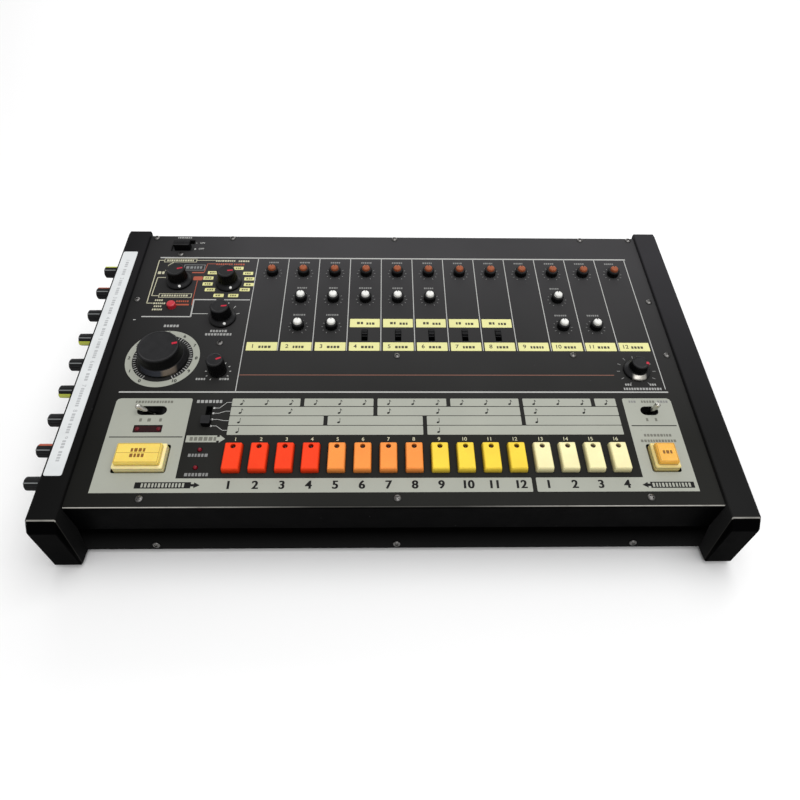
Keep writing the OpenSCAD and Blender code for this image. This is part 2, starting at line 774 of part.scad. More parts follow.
module skirted_knob(d, grip, h) {
    r = d / 2;
    body_r = grip / 2;
    difference() {
        turned([
            [r, 2], [r - 0.5, 2.6], [body_r + 0.9, 4.2], [body_r + 0.3, 5], [body_r - 0.3, h - 0.7],
            [body_r - 0.8, h - 0.15], [body_r - 1.6, h], [body_r - 2.2, h - 0.3], [0, h - 0.3]
        ], r);
        flutes(body_r + 0.1, 0.45, 24, 5.2, h + 1);
    }
}

module plain_knob(d, h) {
    r = d / 2;
    difference() {
        turned([
            [r, 1.6], [r - 0.3, h - 0.9], [r - 0.8, h - 0.25], [r - 1.5, h], [r - 2.1, h - 0.3], [0, h - 0.3]
        ], r);
        flutes(r, 0.45, 20, 2.2, h + 1);
    }
}

module dial_knob(d, grip, h) {
    r = d / 2;
    body_r = grip / 2;
    turned([
        [r, 2], [r - 0.35, 2.6], [body_r + 0.7, 5.6], [body_r + 0.1, 6.2], [body_r - 0.15, 7.2],
        [body_r - 0.8, h - 1.3], [body_r - 1.3, h - 0.4], [body_r - 2.2, h], [body_r - 3, h - 0.4], [0, h - 0.4]
    ], r);
}

module side_knob() {
    r = side_knob_d / 2;
    side_spindle_down = cheek_wall + side_pot_h - pot_floor - 1;
    difference() {
        rotate_extrude($fn = 96) polygon([
            [0, -side_spindle_down], [spindle_d / 2, -side_spindle_down], [spindle_d / 2, knob_lift],
            [r, knob_lift], [r - 0.15, side_reach - 0.9], [r - 0.9, side_reach - 0.15],
            [r - 1.5, side_reach], [0, side_reach]
        ]);
        flutes(r, 0.4, 18, 2, side_reach + 1);
    }
}

module level_knob(n) {
    in_frame() color("orangered") on_panel(channel_at(n, level_v)) small_knob();
}

module tone_knob(n) {
    in_frame() color("white") on_panel(channel_at(n, tone_v)) small_knob();
}

module decay_knob(n) {
    in_frame() color("ivory") on_panel(channel_at(n, decay_v)) small_knob();
}

module side_knob_at(n) {
    in_frame() color("black") on_side(n) side_knob();
}

module tempo_dial() {
    in_frame() color("black") on_panel(tempo_at) dial_knob(tempo_d, tempo_grip_d, tempo_h);
}

module mode_knob() {
    in_frame() color("black") on_panel(mode_at) skirted_knob(skirt_d, grip_d, skirted_h);
}

module instrument_knob() {
    in_frame() color("black") on_panel(instrument_at) skirted_knob(skirt_d, grip_d, skirted_h);
}

module fill_knob() {
    in_frame() color("black") on_panel(fill_at) skirted_knob(skirt_d, grip_d, skirted_h);
}

module fine_tempo_knob() {
    in_frame() color("black") on_panel(fine_at) plain_knob(fine_d, fine_h);
}

module master_volume_knob() {
    in_frame() color("black") on_panel(volume_at) skirted_knob(volume_d, volume_grip_d, volume_h);
}

// ---- Switches, levers, buttons and keys ---------------------------------

module sound_switches() {
    in_frame() color("black") for (n = switch_channels)
        on_panel(channel_at(n, sound_switch_v) + [0, sound_travel / 2]) {
            w = sound_slot_w - 2 * clear;
            rounded_block(w, sound_slot_len - sound_travel - 2 * clear, 0.4, slider_foot, -0.6);
            for (y = [-1, 0, 1]) translate([0, 1.8 * y, 0]) rounded_block(w, 1, 0.2, -1, 1.2);
        }
}

module scale_switch() {
    rest = scale_at + [0, -1.5 * scale_step];
    stem = scale_slot_len - 3 * scale_step - 2 * clear;
    in_frame() color("black") on_panel(rest) {
        rounded_block(scale_slot_w - 2 * clear, stem, 0.4, slider_foot, 2);
        rounded_block(7, 7.4, 0.8, 0.6, 4.8);
    }
}

module power_switch() {
    stem = power_slot_len - power_travel - 2 * clear;
    in_frame() color("black") on_panel(power_at - [0, power_travel / 2]) difference() {
        union() {
            rounded_block(power_slot_w - 2 * clear, stem, 0.8, slider_foot, -sheet);
            rounded_block(power_grip_w, 7, 0.8, slider_foot, 5.5);
        }
        for (y = [-1, 0, 1])
            translate([-power_slot_w / 2, 1.9 * y - 0.4, 5]) cube([power_slot_w, 0.8, 1]);
    }
}

// Bat lever with a ball pivot, leaning to the right by an angle
module lever(lean) {
    tip_r = 2.2;
    neck_r = 1.7;
    translate([0, 0, lever_pivot]) rotate([0, lean, 0]) {
        sphere(r = ball_r, $fn = 48);
        translate([0, 0, -4.4]) cylinder(r = 1.1, h = 6, $fn = 32);
        rotate_extrude($fn = 48) polygon([
            [0, 0], [neck_r, 0], [neck_r, 5], [tip_r - 0.1, lever_len - 4.4], [tip_r, lever_len - 2.6],
            [tip_r - 0.25, lever_len - 1.2], [tip_r - 1, lever_len - 0.3], [0, lever_len]
        ]);
    }
}

module variation_lever() {
    in_frame() color("silver") on_panel(variation_at) lever(-variation_lean);
}

module fill_lever() {
    in_frame() color("silver") on_panel(fill_lever_at) lever(fill_lean);
}

// Hole under a key or button for the post that guides it
module post_hole(foot) {
    translate([-post_hole_w / 2, -post_hole_w / 2, foot - 1])
        cube([post_hole_w, post_hole_w, post_top - foot + 1]);
}

// Large button with a raised top inside a lower rim
module button(w, d) {
    rim = 2;
    rim_h = button_h - 4;
    difference() {
        union() {
            hull() {
                rounded_block(w, d, 1.2, button_foot, rim_h - 0.6);
                rounded_block(w - 1, d - 1, 0.8, rim_h - 0.7, rim_h);
            }
            hull() {
                rounded_block(w - 2 * rim, d - 2 * rim, 1, rim_h - 1, button_h - 0.7);
                rounded_block(w - 2 * rim - 1.2, d - 2 * rim - 1.2, 0.6, button_h - 0.8, button_h);
            }
        }
        post_hole(button_foot);
    }
}

module start_stop_button() {
    in_frame() color("khaki") on_panel(start_at) button(start_w, start_len);
}

module tap_button() {
    in_frame() color("goldenrod") on_panel(tap_at) button(tap_w, tap_len);
}

module clear_button() {
    r = clear_d / 2;
    in_frame() color("crimson") on_panel(clear_at) difference() {
        rotate_extrude($fn = 64) polygon([
            [0, button_foot], [r, button_foot], [r, 3], [r - 0.3, 3.7], [r - 0.9, 4.1], [0, 4.3]
        ]);
        post_hole(button_foot);
    }
}

// One step key: drafted sides, bevelled top and a hole for its lamp
module step_key() {
    top_w = key_w - 1;
    back_h = key_h - key_fall;
    tilt = atan(key_fall / key_len);
    difference() {
        hull() {
            rounded_block(key_w, key_len, 1.1, key_foot, 0.4);
            translate([0, 0, (key_h + back_h) / 2 - 0.7]) rotate([-tilt, 0, 0]) {
                rounded_block(top_w, key_len - 1.2, 0.9, -0.3, 0);
                rounded_block(top_w - 1.2, key_len - 2.4, 0.7, 0, 0.7);
            }
        }
        translate([0, key_lamp_v - key_v, key_foot - 1])
            cylinder(d = lamp_hole_d, h = key_h + board_depth, $fn = 32);
        translate([0, key_post_v - key_v, 0]) post_hole(key_foot);
    }
}

module step_keys(group) {
    first = group * keys_in_group;
    in_frame() color(group_colours[group])
        for (n = [first + 1:first + keys_in_group]) on_panel(key_at(n, key_v)) step_key();
}

// ---- What is drawn ------------------------------------------------------

control_panel();
chassis();
left_cheek();
right_cheek();
panel_screws();
rubber_feet();
label_strip();
lamps();
control_boards();
power_transformer();
rear_sockets();
for (n = [1:channel_count]) level_knob(n);
for (n = tone_channels) tone_knob(n);
for (n = decay_channels) decay_knob(n);
for (n = [1:side_count]) side_knob_at(n);
tempo_dial();
mode_knob();
instrument_knob();
fill_knob();
fine_tempo_knob();
master_volume_knob();
sound_switches();
scale_switch();
power_switch();
variation_lever();
fill_lever();
start_stop_button();
tap_button();
clear_button();
for (g = [0:3]) step_keys(g);
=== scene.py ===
import json
import math
import random

import bmesh
import bpy
from mathutils import Matrix, Vector


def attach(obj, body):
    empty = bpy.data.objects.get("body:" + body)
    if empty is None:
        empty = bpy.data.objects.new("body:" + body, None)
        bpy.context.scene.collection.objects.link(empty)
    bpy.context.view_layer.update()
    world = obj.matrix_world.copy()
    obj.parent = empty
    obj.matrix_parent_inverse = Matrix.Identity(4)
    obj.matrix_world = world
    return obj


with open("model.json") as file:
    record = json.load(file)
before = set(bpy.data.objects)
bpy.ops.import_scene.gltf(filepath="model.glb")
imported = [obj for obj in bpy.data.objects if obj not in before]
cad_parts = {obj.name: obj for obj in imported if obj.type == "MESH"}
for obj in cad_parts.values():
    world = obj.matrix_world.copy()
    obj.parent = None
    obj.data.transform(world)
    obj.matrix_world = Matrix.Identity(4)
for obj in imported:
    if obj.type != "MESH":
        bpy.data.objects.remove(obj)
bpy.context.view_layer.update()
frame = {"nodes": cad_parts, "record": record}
nodes = frame["nodes"]

# ---- Sizes, in millimetres ----

MM = 0.001

# The case, its height in front, and how far its cheeks' noses stand forward.
CASE_W, CASE_D, CASE_H = 508, 305, 105
FRONT_H, NOSE = 60, 6
# The panel's bend behind the noses, its drop below the cheeks, and its sheet.
LIP_SET, DROP, SHEET = 10, 3, 1.2
# The back wall's inset, and the gap that the socket blocks leave.
BACK_INSET, FIT = 2.5, 0.2

SLOPE = math.atan((CASE_H - FRONT_H) / (CASE_D - NOSE))
NORMAL = Vector((0, -math.sin(SLOPE), math.cos(SLOPE)))
UP_SLOPE = Vector((0, math.cos(SLOPE), math.sin(SLOPE)))
ASIDE, BACK, UP = (1, 0, 0), (0, 1, 0), (0, 0, 1)

# The row of knobs on the left cheek: their reach, their depth below its edge, the
# place of the front one, their pitch and their radius.
SIDE_REACH, SIDE_DEPTH, SIDE_V, SIDE_PITCH, SIDE_R = 13.5, 10, 23.3, 27.6, 5.28
SIDE_COUNT = 9

TO_FRAME = Matrix.Scale(MM, 4) @ Matrix.Translation((SIDE_REACH / 2, -CASE_D / 2, 0))
TO_PANEL = (
    TO_FRAME
    @ Matrix.Translation((0, NOSE, FRONT_H))
    @ Matrix.Rotation(SLOPE, 4, "X")
    @ Matrix.Translation((0, LIP_SET, -DROP))
)
PANEL_LEVEL = (TO_PANEL @ Vector((0, 0, 0))).dot(NORMAL)

# Channels from left to right, and the rows of small knobs over them.
CHANNEL_U, CHANNEL_PITCH = -111.8, 28.5
CHANNELS = range(1, 13)
SWITCH_CHANNELS = (4, 5, 6, 7, 8)
SMALL_KNOBS = (
    # kind, v, channels, v and width of the words above, seed
    ("level", 236.5, CHANNELS, 250.8, 9.5, 0),
    ("tone", 203.5, (2, 3, 4, 5, 6, 10), 217.5, 9, 20),
    ("decay", 170.5, (2, 3, 10, 11), 184.3, 10.5, 40),
)
WIDE_WORDS = {("tone", 4): 12}

# Step keys, whose last four are counted from 1 again.
KEY_U, KEY_PITCH = -120.6, 19.05
KEYS, KEYS_COUNTED_ON = range(1, 17), 12

# Heights of the small knobs' shoulder, the buttons' rim and the buttons' top.
SHOULDER_H, RIM_H, BUTTON_H = 6.0, 4.6, 8.6

VARIATION, FILL_LEVER, WINDOW = (-188.3, 82.8), (198.2, 82.4), (-188, 66)
START, TAP = (-187, 39.8), (198.3, 39.6)
TEMPO, MODE, INSTRUMENT = (-190.5, 134.7), (-194.4, 225.1), (-149.8, 223.2)
FILL, FINE, VOLUME = (-148.8, 179.8), (-143.8, 121.6), (197.2, 122)


def channel_u(n):
    return CHANNEL_U + (n - 1) * CHANNEL_PITCH


def key_u(n):
    return KEY_U + (n - 1) * KEY_PITCH


# ---- Camera and light ----

# The camera's place in the case's own millimetres, and its angles in degrees.
CAMERA_AT = (-8.27, -240.3, 426.0)
YAW, PITCH, ROLL = (math.radians(a) for a in (1.836, 45.41, 1.314))
FOCAL_PX, FRAME_PX, SENSOR = 631.3, 800, 36
WORLD_STRENGTH = 0.5


def add_camera():
    ahead = Vector((math.sin(YAW) * math.cos(PITCH), math.cos(YAW) * math.cos(PITCH), -math.sin(PITCH)))
    level_right = Vector((math.cos(YAW), -math.sin(YAW), 0))
    level_up = level_right.cross(ahead)
    right = level_right * math.cos(ROLL) + level_up * math.sin(ROLL)
    up = level_up * math.cos(ROLL) - level_right * math.sin(ROLL)
    data = bpy.data.cameras.new("camera")
    data.sensor_fit = "HORIZONTAL"
    data.sensor_width = SENSOR
    data.lens = SENSOR * FOCAL_PX / FRAME_PX
    data.clip_start = 0.01
    camera = bpy.data.objects.new("camera", data)
    bpy.context.scene.collection.objects.link(camera)
    turned = Matrix((right, up, -ahead)).transposed().to_4x4()
    camera.matrix_world = Matrix.Translation(TO_FRAME @ Vector(CAMERA_AT)) @ turned
    bpy.context.scene.camera = camera


def softbox(name, at, aim, size, power):
    data = bpy.data.lights.new(name, "AREA")
    data.shape = "RECTANGLE"
    data.size, data.size_y = size
    data.energy = power
    lamp = bpy.data.objects.new(name, data)
    bpy.context.scene.collection.objects.link(lamp)
    lamp.location = at
    lamp.rotation_euler = (Vector(aim) - Vector(at)).to_track_quat("-Z", "Y").to_euler()


add_camera()
softbox("back_box", at=(0.1, 1.9, 0.95), aim=(0, 0.1, 0.05), size=(2.6, 0.9), power=14)
softbox("top_box", at=(0.4, 0.1, 1.8), aim=(0, 0, 0), size=(1.6, 1.6), power=19)
softbox("front_box", at=(0.3, -1.6, 1.8), aim=(0, -0.4, 0.0), size=(1.8, 1.2), power=12)

world = bpy.data.worlds.new("studio")
bpy.context.scene.world = world
world.use_nodes = True
world.node_tree.nodes["Background"].inputs["Color"].default_value = (1, 1, 1, 1)
world.node_tree.nodes["Background"].inputs["Strength"].default_value = WORLD_STRENGTH
bpy.context.scene.view_settings.view_transform = "Standard"


# ---- Building materials ----


class Finish:
    """A material built from nodes, in the frame's own coordinates."""

    def __init__(self, name, rough, metallic=0.0, specular=0.5, coat=0.0):
        self.material = bpy.data.materials.new(name)
        self.material.use_nodes = True
        self.tree = self.material.node_tree
        self.shader = self.tree.nodes["Principled BSDF"]
        self.rough = rough
        self.set("Roughness", rough)
        self.set("Metallic", metallic)
        self.set("Specular IOR Level", specular)
        self.set("Coat Weight", coat)
        self.set("Coat Roughness", 0.1)
        where = self.node("ShaderNodeTexCoord")
        self.place, self.facing = where.outputs["Object"], where.outputs["Normal"]

    def set(self, socket, value):
        self.shader.inputs[socket].default_value = value

    def node(self, kind, **values):
        made = self.tree.nodes.new(kind)
        for key, value in values.items():
            setattr(made, key, value)
        return made

    def link(self, source, target):
        if isinstance(target, str):
            target = self.shader.inputs[target]
        self.tree.links.new(source, target)

    def noise(self, scale, detail=3.0, rough=0.5, stretch=None):
        made = self.node("ShaderNodeTexNoise")
        made.inputs["Scale"].default_value = scale
        made.inputs["Detail"].default_value = detail
        made.inputs["Roughness"].default_value = rough
        place = self.place
        if stretch:
            mapping = self.node("ShaderNodeMapping")
            mapping.inputs["Scale"].default_value = stretch
            self.link(self.place, mapping.inputs["Vector"])
            place = mapping.outputs["Vector"]
        self.link(place, made.inputs["Vector"])
        return made.outputs["Fac"]

    def span(self, source, low, high, to_low=0.0, to_high=1.0):
        """Maps low and high to to_low and to_high, and stays between those."""
        made = self.node("ShaderNodeMapRange")
        limits = {"From Min": low, "From Max": high, "To Min": to_low, "To Max": to_high}
        for key, value in limits.items():
            made.inputs[key].default_value = value
        self.link(source, made.inputs["Value"])
        return made.outputs["Result"]

    def rises(self, distance, at, blur):
        """0 below a distance in millimetres and 1 past it."""
        return self.span(distance, (at - blur) * MM, (at + blur) * MM)

    def falls(self, distance, at, blur):
        """1 below a distance in millimetres and 0 past it."""
        return self.span(distance, (at - blur) * MM, (at + blur) * MM, 1.0, 0.0)

    def maths(self, operation, first, second=0.0):
        made = self.node("ShaderNodeMath", operation=operation)
        for socket, value in zip(made.inputs, (first, second)):
            if isinstance(value, (int, float)):
                socket.default_value = value
            else:
                self.link(value, socket)
        return made.outputs["Value"]

    def times(self, first, *others):
        for other in others:
            first = self.maths("MULTIPLY", first, other)
        return first

    def mix(self, factor, first, second):
        """The first colour where the factor is 0 and the second where it is 1."""
        made = self.node("ShaderNodeMix", data_type="RGBA")
        self.link(factor, made.inputs["Factor"])
        colours = [socket for socket in made.inputs if socket.type == "RGBA"]
        for socket, value in zip(colours, (first, second)):
            if isinstance(value, tuple):
                socket.default_value = (*value, 1)
            else:
                self.link(value, socket)
        return next(socket for socket in made.outputs if socket.type == "RGBA")

    def along(self, vector, direction):
        made = self.node("ShaderNodeVectorMath", operation="DOT_PRODUCT")
        self.link(vector, made.inputs[0])
        made.inputs[1].default_value = direction
        return made.outputs["Value"]

    def past(self, direction, origin=0.0):
        """Distance along a direction, in metres, from a plane."""
        return self.maths("SUBTRACT", self.along(self.place, direction), origin)

    def from_place(self, at):
        """Metres to the right of a place on the panel, and up the slope."""
        centre = TO_PANEL @ Vector((*at, 0))
        return self.past(ASIDE, centre.x), self.past(UP_SLOPE, centre.dot(UP_SLOPE))

    def height(self):
        """Height above the panel."""
        return self.past(NORMAL, PANEL_LEVEL)

    def lid(self):
        """1 on faces that look up from the panel, 0 on walls."""
        return self.span(self.along(self.facing, NORMAL), 0.35, 0.9)

    def colour(self, tint, vary, scale):
        """A slow mottle round a tint, by the share called vary."""
        return self.mix(self.span(self.noise(scale), 0.3, 0.7), shade(tint, 1 - vary), shade(tint, 1 + vary))

    def grain(self, scale, strength, distance, vary=0.08, stretch=None):
        """Fine bump, its distance in millimetres, and roughness that varies slowly."""
        bump = self.node("ShaderNodeBump")
        bump.inputs["Strength"].default_value = strength
        bump.inputs["Distance"].default_value = distance * MM
        self.link(self.noise(scale, detail=2.0, stretch=stretch), bump.inputs["Height"])
        self.link(bump.outputs["Normal"], "Normal")
        slow = self.noise(60, detail=4.0, rough=0.6)
        lowest = max(0.02, self.rough - vary)
        self.link(self.span(slow, 0.3, 0.7, lowest, self.rough + vary), "Roughness")

    def specks(self, base, tint, scale, above):
        """Dust or wear over a colour, where a noise is above a level."""
        cells = self.noise(scale, detail=1.0, rough=0.4)
        return self.mix(self.span(cells, above, above + 0.03, 0.0, 0.6), base, tint)

    def finish(self, base):
        self.link(base, "Base Color")
        return self.material


def shade(tint, share):
    return tuple(c * share for c in tint)


# ---- Finishes ----

BLACK, WHITE = (0, 0, 0), (1, 1, 1)
# Near-black painted shade for the panel's front wall and the cheeks' noses.
SHADED = (0.0008, 0.0008, 0.0009)
# Tint of the painted highlight along the front edges.
EDGE_HIGHLIGHT = (0.62, 0.60, 0.55)
DUST = (0.09, 0.09, 0.09)
# Black knob plastic in painted light and shade: shaded walls, a lit shoulder and a lit top.
KNOB_SHADED_WALL = (0.0028, 0.0028, 0.0032)
KNOB_LIT_SHOULDER = (0.006, 0.006, 0.0065)
KNOB_LIT_LID = (0.019, 0.019, 0.020)

# In the frame's millimetres: the depths of the cheeks' noses and of the panel's bend,
# the top of the panel's front wall, and the heights between which a painted edge highlight fades.
NOSE_Y = NOSE - CASE_D / 2
BEND_Y = NOSE_Y + 11.05
WALL_TOP = FRONT_H - 1.6
HIGHLIGHT_LOW, HIGHLIGHT_HIGH = FRONT_H - 2.5, FRONT_H - 1.8
# The two part lamps lie to the left of this place on the panel, and below it.
PART_LAMPS_CORNER = (-140.5, 56)
# Where the painted metal sheen on a skirt sets in, from the knob's axis, and the height
# over which the boards show dark bodies.
SKIRT_NEAR, BOARD_BODIES_H = 3, -12.6


def dark_coat(name, rough, specular, front_tint, rear_tint):
    """A matte black, lighter to the rear in painted sheen and darkest at the left end in painted
    shade: its look and base.
    """
    look = Finish(name, rough, specular=specular)
    look.grain(scale=1500, strength=0.16, distance=0.06, vary=0.05)
    front = look.colour(front_tint, vary=0.08, scale=12)
    rear = look.colour(rear_tint, vary=0.06, scale=12)
    # Painted sheen: lighter towards the rear.
    base = look.mix(look.span(look.past(BACK), -0.08, 0.12), front, rear)
    # Painted shade, darkest at the left end.
    left_end_shade = look.span(look.past(ASIDE), -0.24, -0.13, 0.7, 0.0)
    return look, look.mix(left_end_shade, base, shade(front_tint, 0.3))


def painted_edge_highlight(look, base, at, middle, ends, low):
    """Paints a highlight along an edge that runs across the front, at a depth in millimetres.

    The painted highlight is as strong as middle and ends say, with the share low where the
    edge runs down.
    """
    line = look.falls(look.maths("ABSOLUTE", look.past(BACK, at * MM)), 0.4, 0.1)
    level = look.span(look.past(UP), HIGHLIGHT_LOW * MM, HIGHLIGHT_HIGH * MM, low, 1.0)
    across = look.span(look.maths("ABSOLUTE", look.past(ASIDE)), 0.05, 0.15, middle, ends)
    patches = look.span(look.noise(70), 0.3, 0.5, 0.7, 1.0)
    return look.mix(look.times(line, level, across, patches), base, EDGE_HIGHLIGHT)


def panel_paint():
    """Black enamel; the wall in front has painted shade, and the bend over it a painted highlight."""
    look, base = dark_coat("panel_paint", 0.45, 0.01, (0.020, 0.020, 0.0185), (0.051, 0.050, 0.052))
    # Painted shade on the front wall, below its top.
    on_top = look.rises(look.past(UP), WALL_TOP - 0.6, 0.6)
    base = look.specks(look.mix(on_top, SHADED, base), DUST, scale=500, above=0.83)
    return look.finish(painted_edge_highlight(look, base, BEND_Y, middle=0.12, ends=1.0, low=0.0))


def cheek_plastic():
    """Black moulding; its noses have painted shade, and their upper edges a painted highlight."""
    tints = (0.0145, 0.0145, 0.0145), (0.036, 0.035, 0.038)
    look, base = dark_coat("cheek_plastic", 0.5, 0.006, *tints)
    # Painted shade on the cheeks' noses, in front of this depth.
    behind_nose = look.rises(look.past(BACK), NOSE_Y - 0.1, 0.5)
    base = look.specks(look.mix(behind_nose, SHADED, base), DUST, scale=500, above=0.83)
    return look.finish(painted_edge_highlight(look, base, NOSE_Y - 0.2, middle=0.0, ends=0.45, low=0.08))


def tray_paint():
    """Black enamel: painted shade in front, with painted light from the table near its foot; its own tint
    behind.
    """
    look = Finish("tray_paint", 0.5, specular=0.0)
    look.grain(scale=1500, strength=0.16, distance=0.06, vary=0.05)
    # Painted shade in front, lightened by painted light near the table.
    light = look.span(look.past(UP), 3 * MM, 24 * MM, 0.012, 0.0008)
    rear = look.colour((0.016, 0.016, 0.017), vary=0.08, scale=12)
    return look.finish(look.mix(look.rises(look.past(BACK), -110, 10), look.mix(light, BLACK, WHITE), rear))


def moulded(name, tint, rough, scale, strength, specular=0.5, coat=0.0):
    look = Finish(name, rough, specular=specular, coat=coat)
    look.grain(scale, strength, distance=0.05)
    return look.finish(look.colour(tint, vary=0.05, scale=40))


def printed(name, tint, vary=0.05, specular=0.3):
    """Ink with small specks of wear."""
    look = Finish(name, 0.5, specular=specular)
    look.grain(scale=1800, strength=0.12, distance=0.05, vary=0.06)
    base = look.colour(tint, vary, scale=25)
    return look.finish(look.specks(base, shade(tint, 0.72), scale=900, above=0.76))


def metal(name, tint, rough, scale=1200, strength=0.15, stretch=None, shaded_under=None):
    """Bare metal, with painted shade, nearly black, below a height above the panel, where one is given."""
    look = Finish(name, rough, metallic=1.0)
    look.grain(scale, strength, distance=0.04, vary=0.07, stretch=stretch)
    base = look.colour(tint, vary=0.1, scale=90)
    if shaded_under is not None:
        # Painted shade below that height.
        base = look.mix(look.rises(look.height(), shaded_under, 0.4), (0.02, 0.02, 0.018), base)
    return look.finish(base)


def capped_knob(name, tint):
    """A black fluted knob, its upward faces painted lighter and its walls in painted shade; its cap, above
    the shoulder, is coloured.
    """
    look = Finish(name, 0.36, specular=0.15)
    look.grain(scale=2600, strength=0.12, distance=0.04)
    body = look.mix(look.lid(), look.colour(KNOB_SHADED_WALL, vary=0.15, scale=200), KNOB_LIT_SHOULDER)
    cap = look.colour(tint, vary=0.06, scale=200)
    return look.finish(look.mix(look.rises(look.height(), SHOULDER_H, 0.05), body, cap))


def black_knob(name, rough):
    """A black knob's look and base: its top painted lighter, its walls in painted shade."""
    look = Finish(name, rough, specular=0.1)
    look.grain(scale=2400, strength=0.14, distance=0.04, vary=0.07)
    wall = look.colour(KNOB_SHADED_WALL, vary=0.12, scale=160)
    top = look.colour(KNOB_LIT_LID, vary=0.12, scale=160)
    return look, look.mix(look.lid(), wall, top)


def plain_black_knob(name):
    look, base = black_knob(name, 0.36)
    return look.finish(base)


def knob_with_skirt(name, rough, at, top, far, half_width, sheen, warm=None):
    """Black knob whose skirt has a painted sheen of metal on the side nearest the player.

    The painted sheen ends at the height called top, is full at the distance called far,
    and reaches half_width to each side.  On the right its painted tint is warm, if given.
    """
    look, base = black_knob(name, rough)
    height = look.height()
    aside, up_slope = look.from_place(at)
    # Painted sheen on the skirt's side nearest the player, also made metallic there.
    sheen_mask = look.times(
        look.rises(height, 0.6, 0.04),
        look.falls(height, top, 0.04),
        look.span(up_slope, -far * MM, -SKIRT_NEAR * MM, 1.0, 0.0),
        look.falls(look.maths("ABSOLUTE", aside), half_width, 1),
        look.span(look.noise(90, detail=2.0), 0.35, 0.5, 0.6, 1.0),
    )
    look.link(sheen_mask, "Metallic")
    if warm:
        sheen = look.mix(look.rises(aside, 4, 1.5), sheen, warm)
    return look.finish(look.mix(sheen_mask, base, sheen))


def lamp_lens(name):
    """Lamps that are out: dark, but the two part lamps are crimson."""
    look = Finish(name, 0.2, specular=0.2, coat=0.1)
    look.grain(scale=900, strength=0.05, distance=0.04, vary=0.05)
    aside, up_slope = look.from_place(PART_LAMPS_CORNER)
    is_part_lamp = look.times(look.falls(aside, 0, 0.25), look.falls(up_slope, 0, 1))
    dark = look.colour((0.022, 0.004, 0.005), vary=0.3, scale=90)
    return look.finish(look.mix(is_part_lamp, dark, (0.17, 0.005, 0.014)))


def board_finish(name):
    """Dark switch and control bodies on a green lacquered board."""
    look = Finish(name, 0.6, specular=0.1)
    look.grain(scale=500, strength=0.3, distance=0.05)
    board = look.colour((0.01, 0.045, 0.02), vary=0.3, scale=90)
    bodies = look.rises(look.height(), BOARD_BODIES_H, 0.1)
    return look.finish(look.mix(bodies, board, (0.004, 0.004, 0.004)))


def socket_finish(name):
    """Black socket blocks with bright nuts outside the wall."""
    look = Finish(name, 0.35)
    look.grain(scale=900, strength=0.2, distance=0.05)
    wall_y = CASE_D / 2 - BACK_INSET - SHEET - FIT
    outside = look.rises(look.past(BACK, wall_y * MM), 0.04, 0.02)
    right_of_cord = look.rises(look.past(ASIDE), -157.5, 2.5)
    nuts = look.times(outside, right_of_cord)
    look.link(nuts, "Metallic")
    block = look.colour((0.02, 0.02, 0.02), vary=0.1, scale=35)
    return look.finish(look.mix(nuts, block, (0.55, 0.54, 0.52)))


def key_plastic(name, tint):
    """Coloured keycap whose walls have painted shade towards the panel."""
    look = Finish(name, 0.45, specular=0.12)
    look.set("Subsurface Weight", 0.06)
    look.set("Subsurface Radius", (0.002, 0.0012, 0.0008))
    look.grain(scale=2200, strength=0.16, distance=0.05, vary=0.06)
    # Painted shade on the walls, deepest next to the panel.
    low = look.span(look.height(), 1.2 * MM, 3.3 * MM, 0.75, 0.0)
    return look.finish(look.mix(low, look.colour(tint, vary=0.05, scale=60), shade(tint, 0.45)))


def amber(name, tint, rim, deep):
    """Translucent button cap: fine lines in its raised top, seams round a paler rim."""
    look = Finish(name, 0.25, specular=0.2, coat=0.12)
    look.set("Subsurface Weight", 0.25)
    look.set("Subsurface Radius", (0.004, 0.0025, 0.001))
    lines = look.node("ShaderNodeTexWave", wave_type="BANDS", bands_direction="Y")
    lines.inputs["Scale"].default_value = 330
    lines.inputs["Distortion"].default_value = 0.3
    look.link(look.place, lines.inputs["Vector"])
    look.grain(scale=1500, strength=0.1, distance=0.05, vary=0.05)
    height = look.height()
    raised = look.rises(height, RIM_H + 0.2, 0.1)
    stripe = look.times(look.span(lines.outputs["Fac"], 0.72, 0.9, 0.0, 0.35), raised)
    top = look.mix(look.span(look.noise(120), 0.35, 0.65), tint, shade(tint, 0.93))
    base = look.mix(raised, rim, look.mix(stripe, top, deep))
    for seam in (RIM_H - 2.2, RIM_H + 0.4):
        off = look.maths("ABSOLUTE", look.maths("SUBTRACT", height, seam * MM))
        line = look.span(off, 0.14 * MM, 0.26 * MM, 0.95, 0.0)
        base = look.mix(line, base, shade(deep, 0.16))
    return look.finish(base)


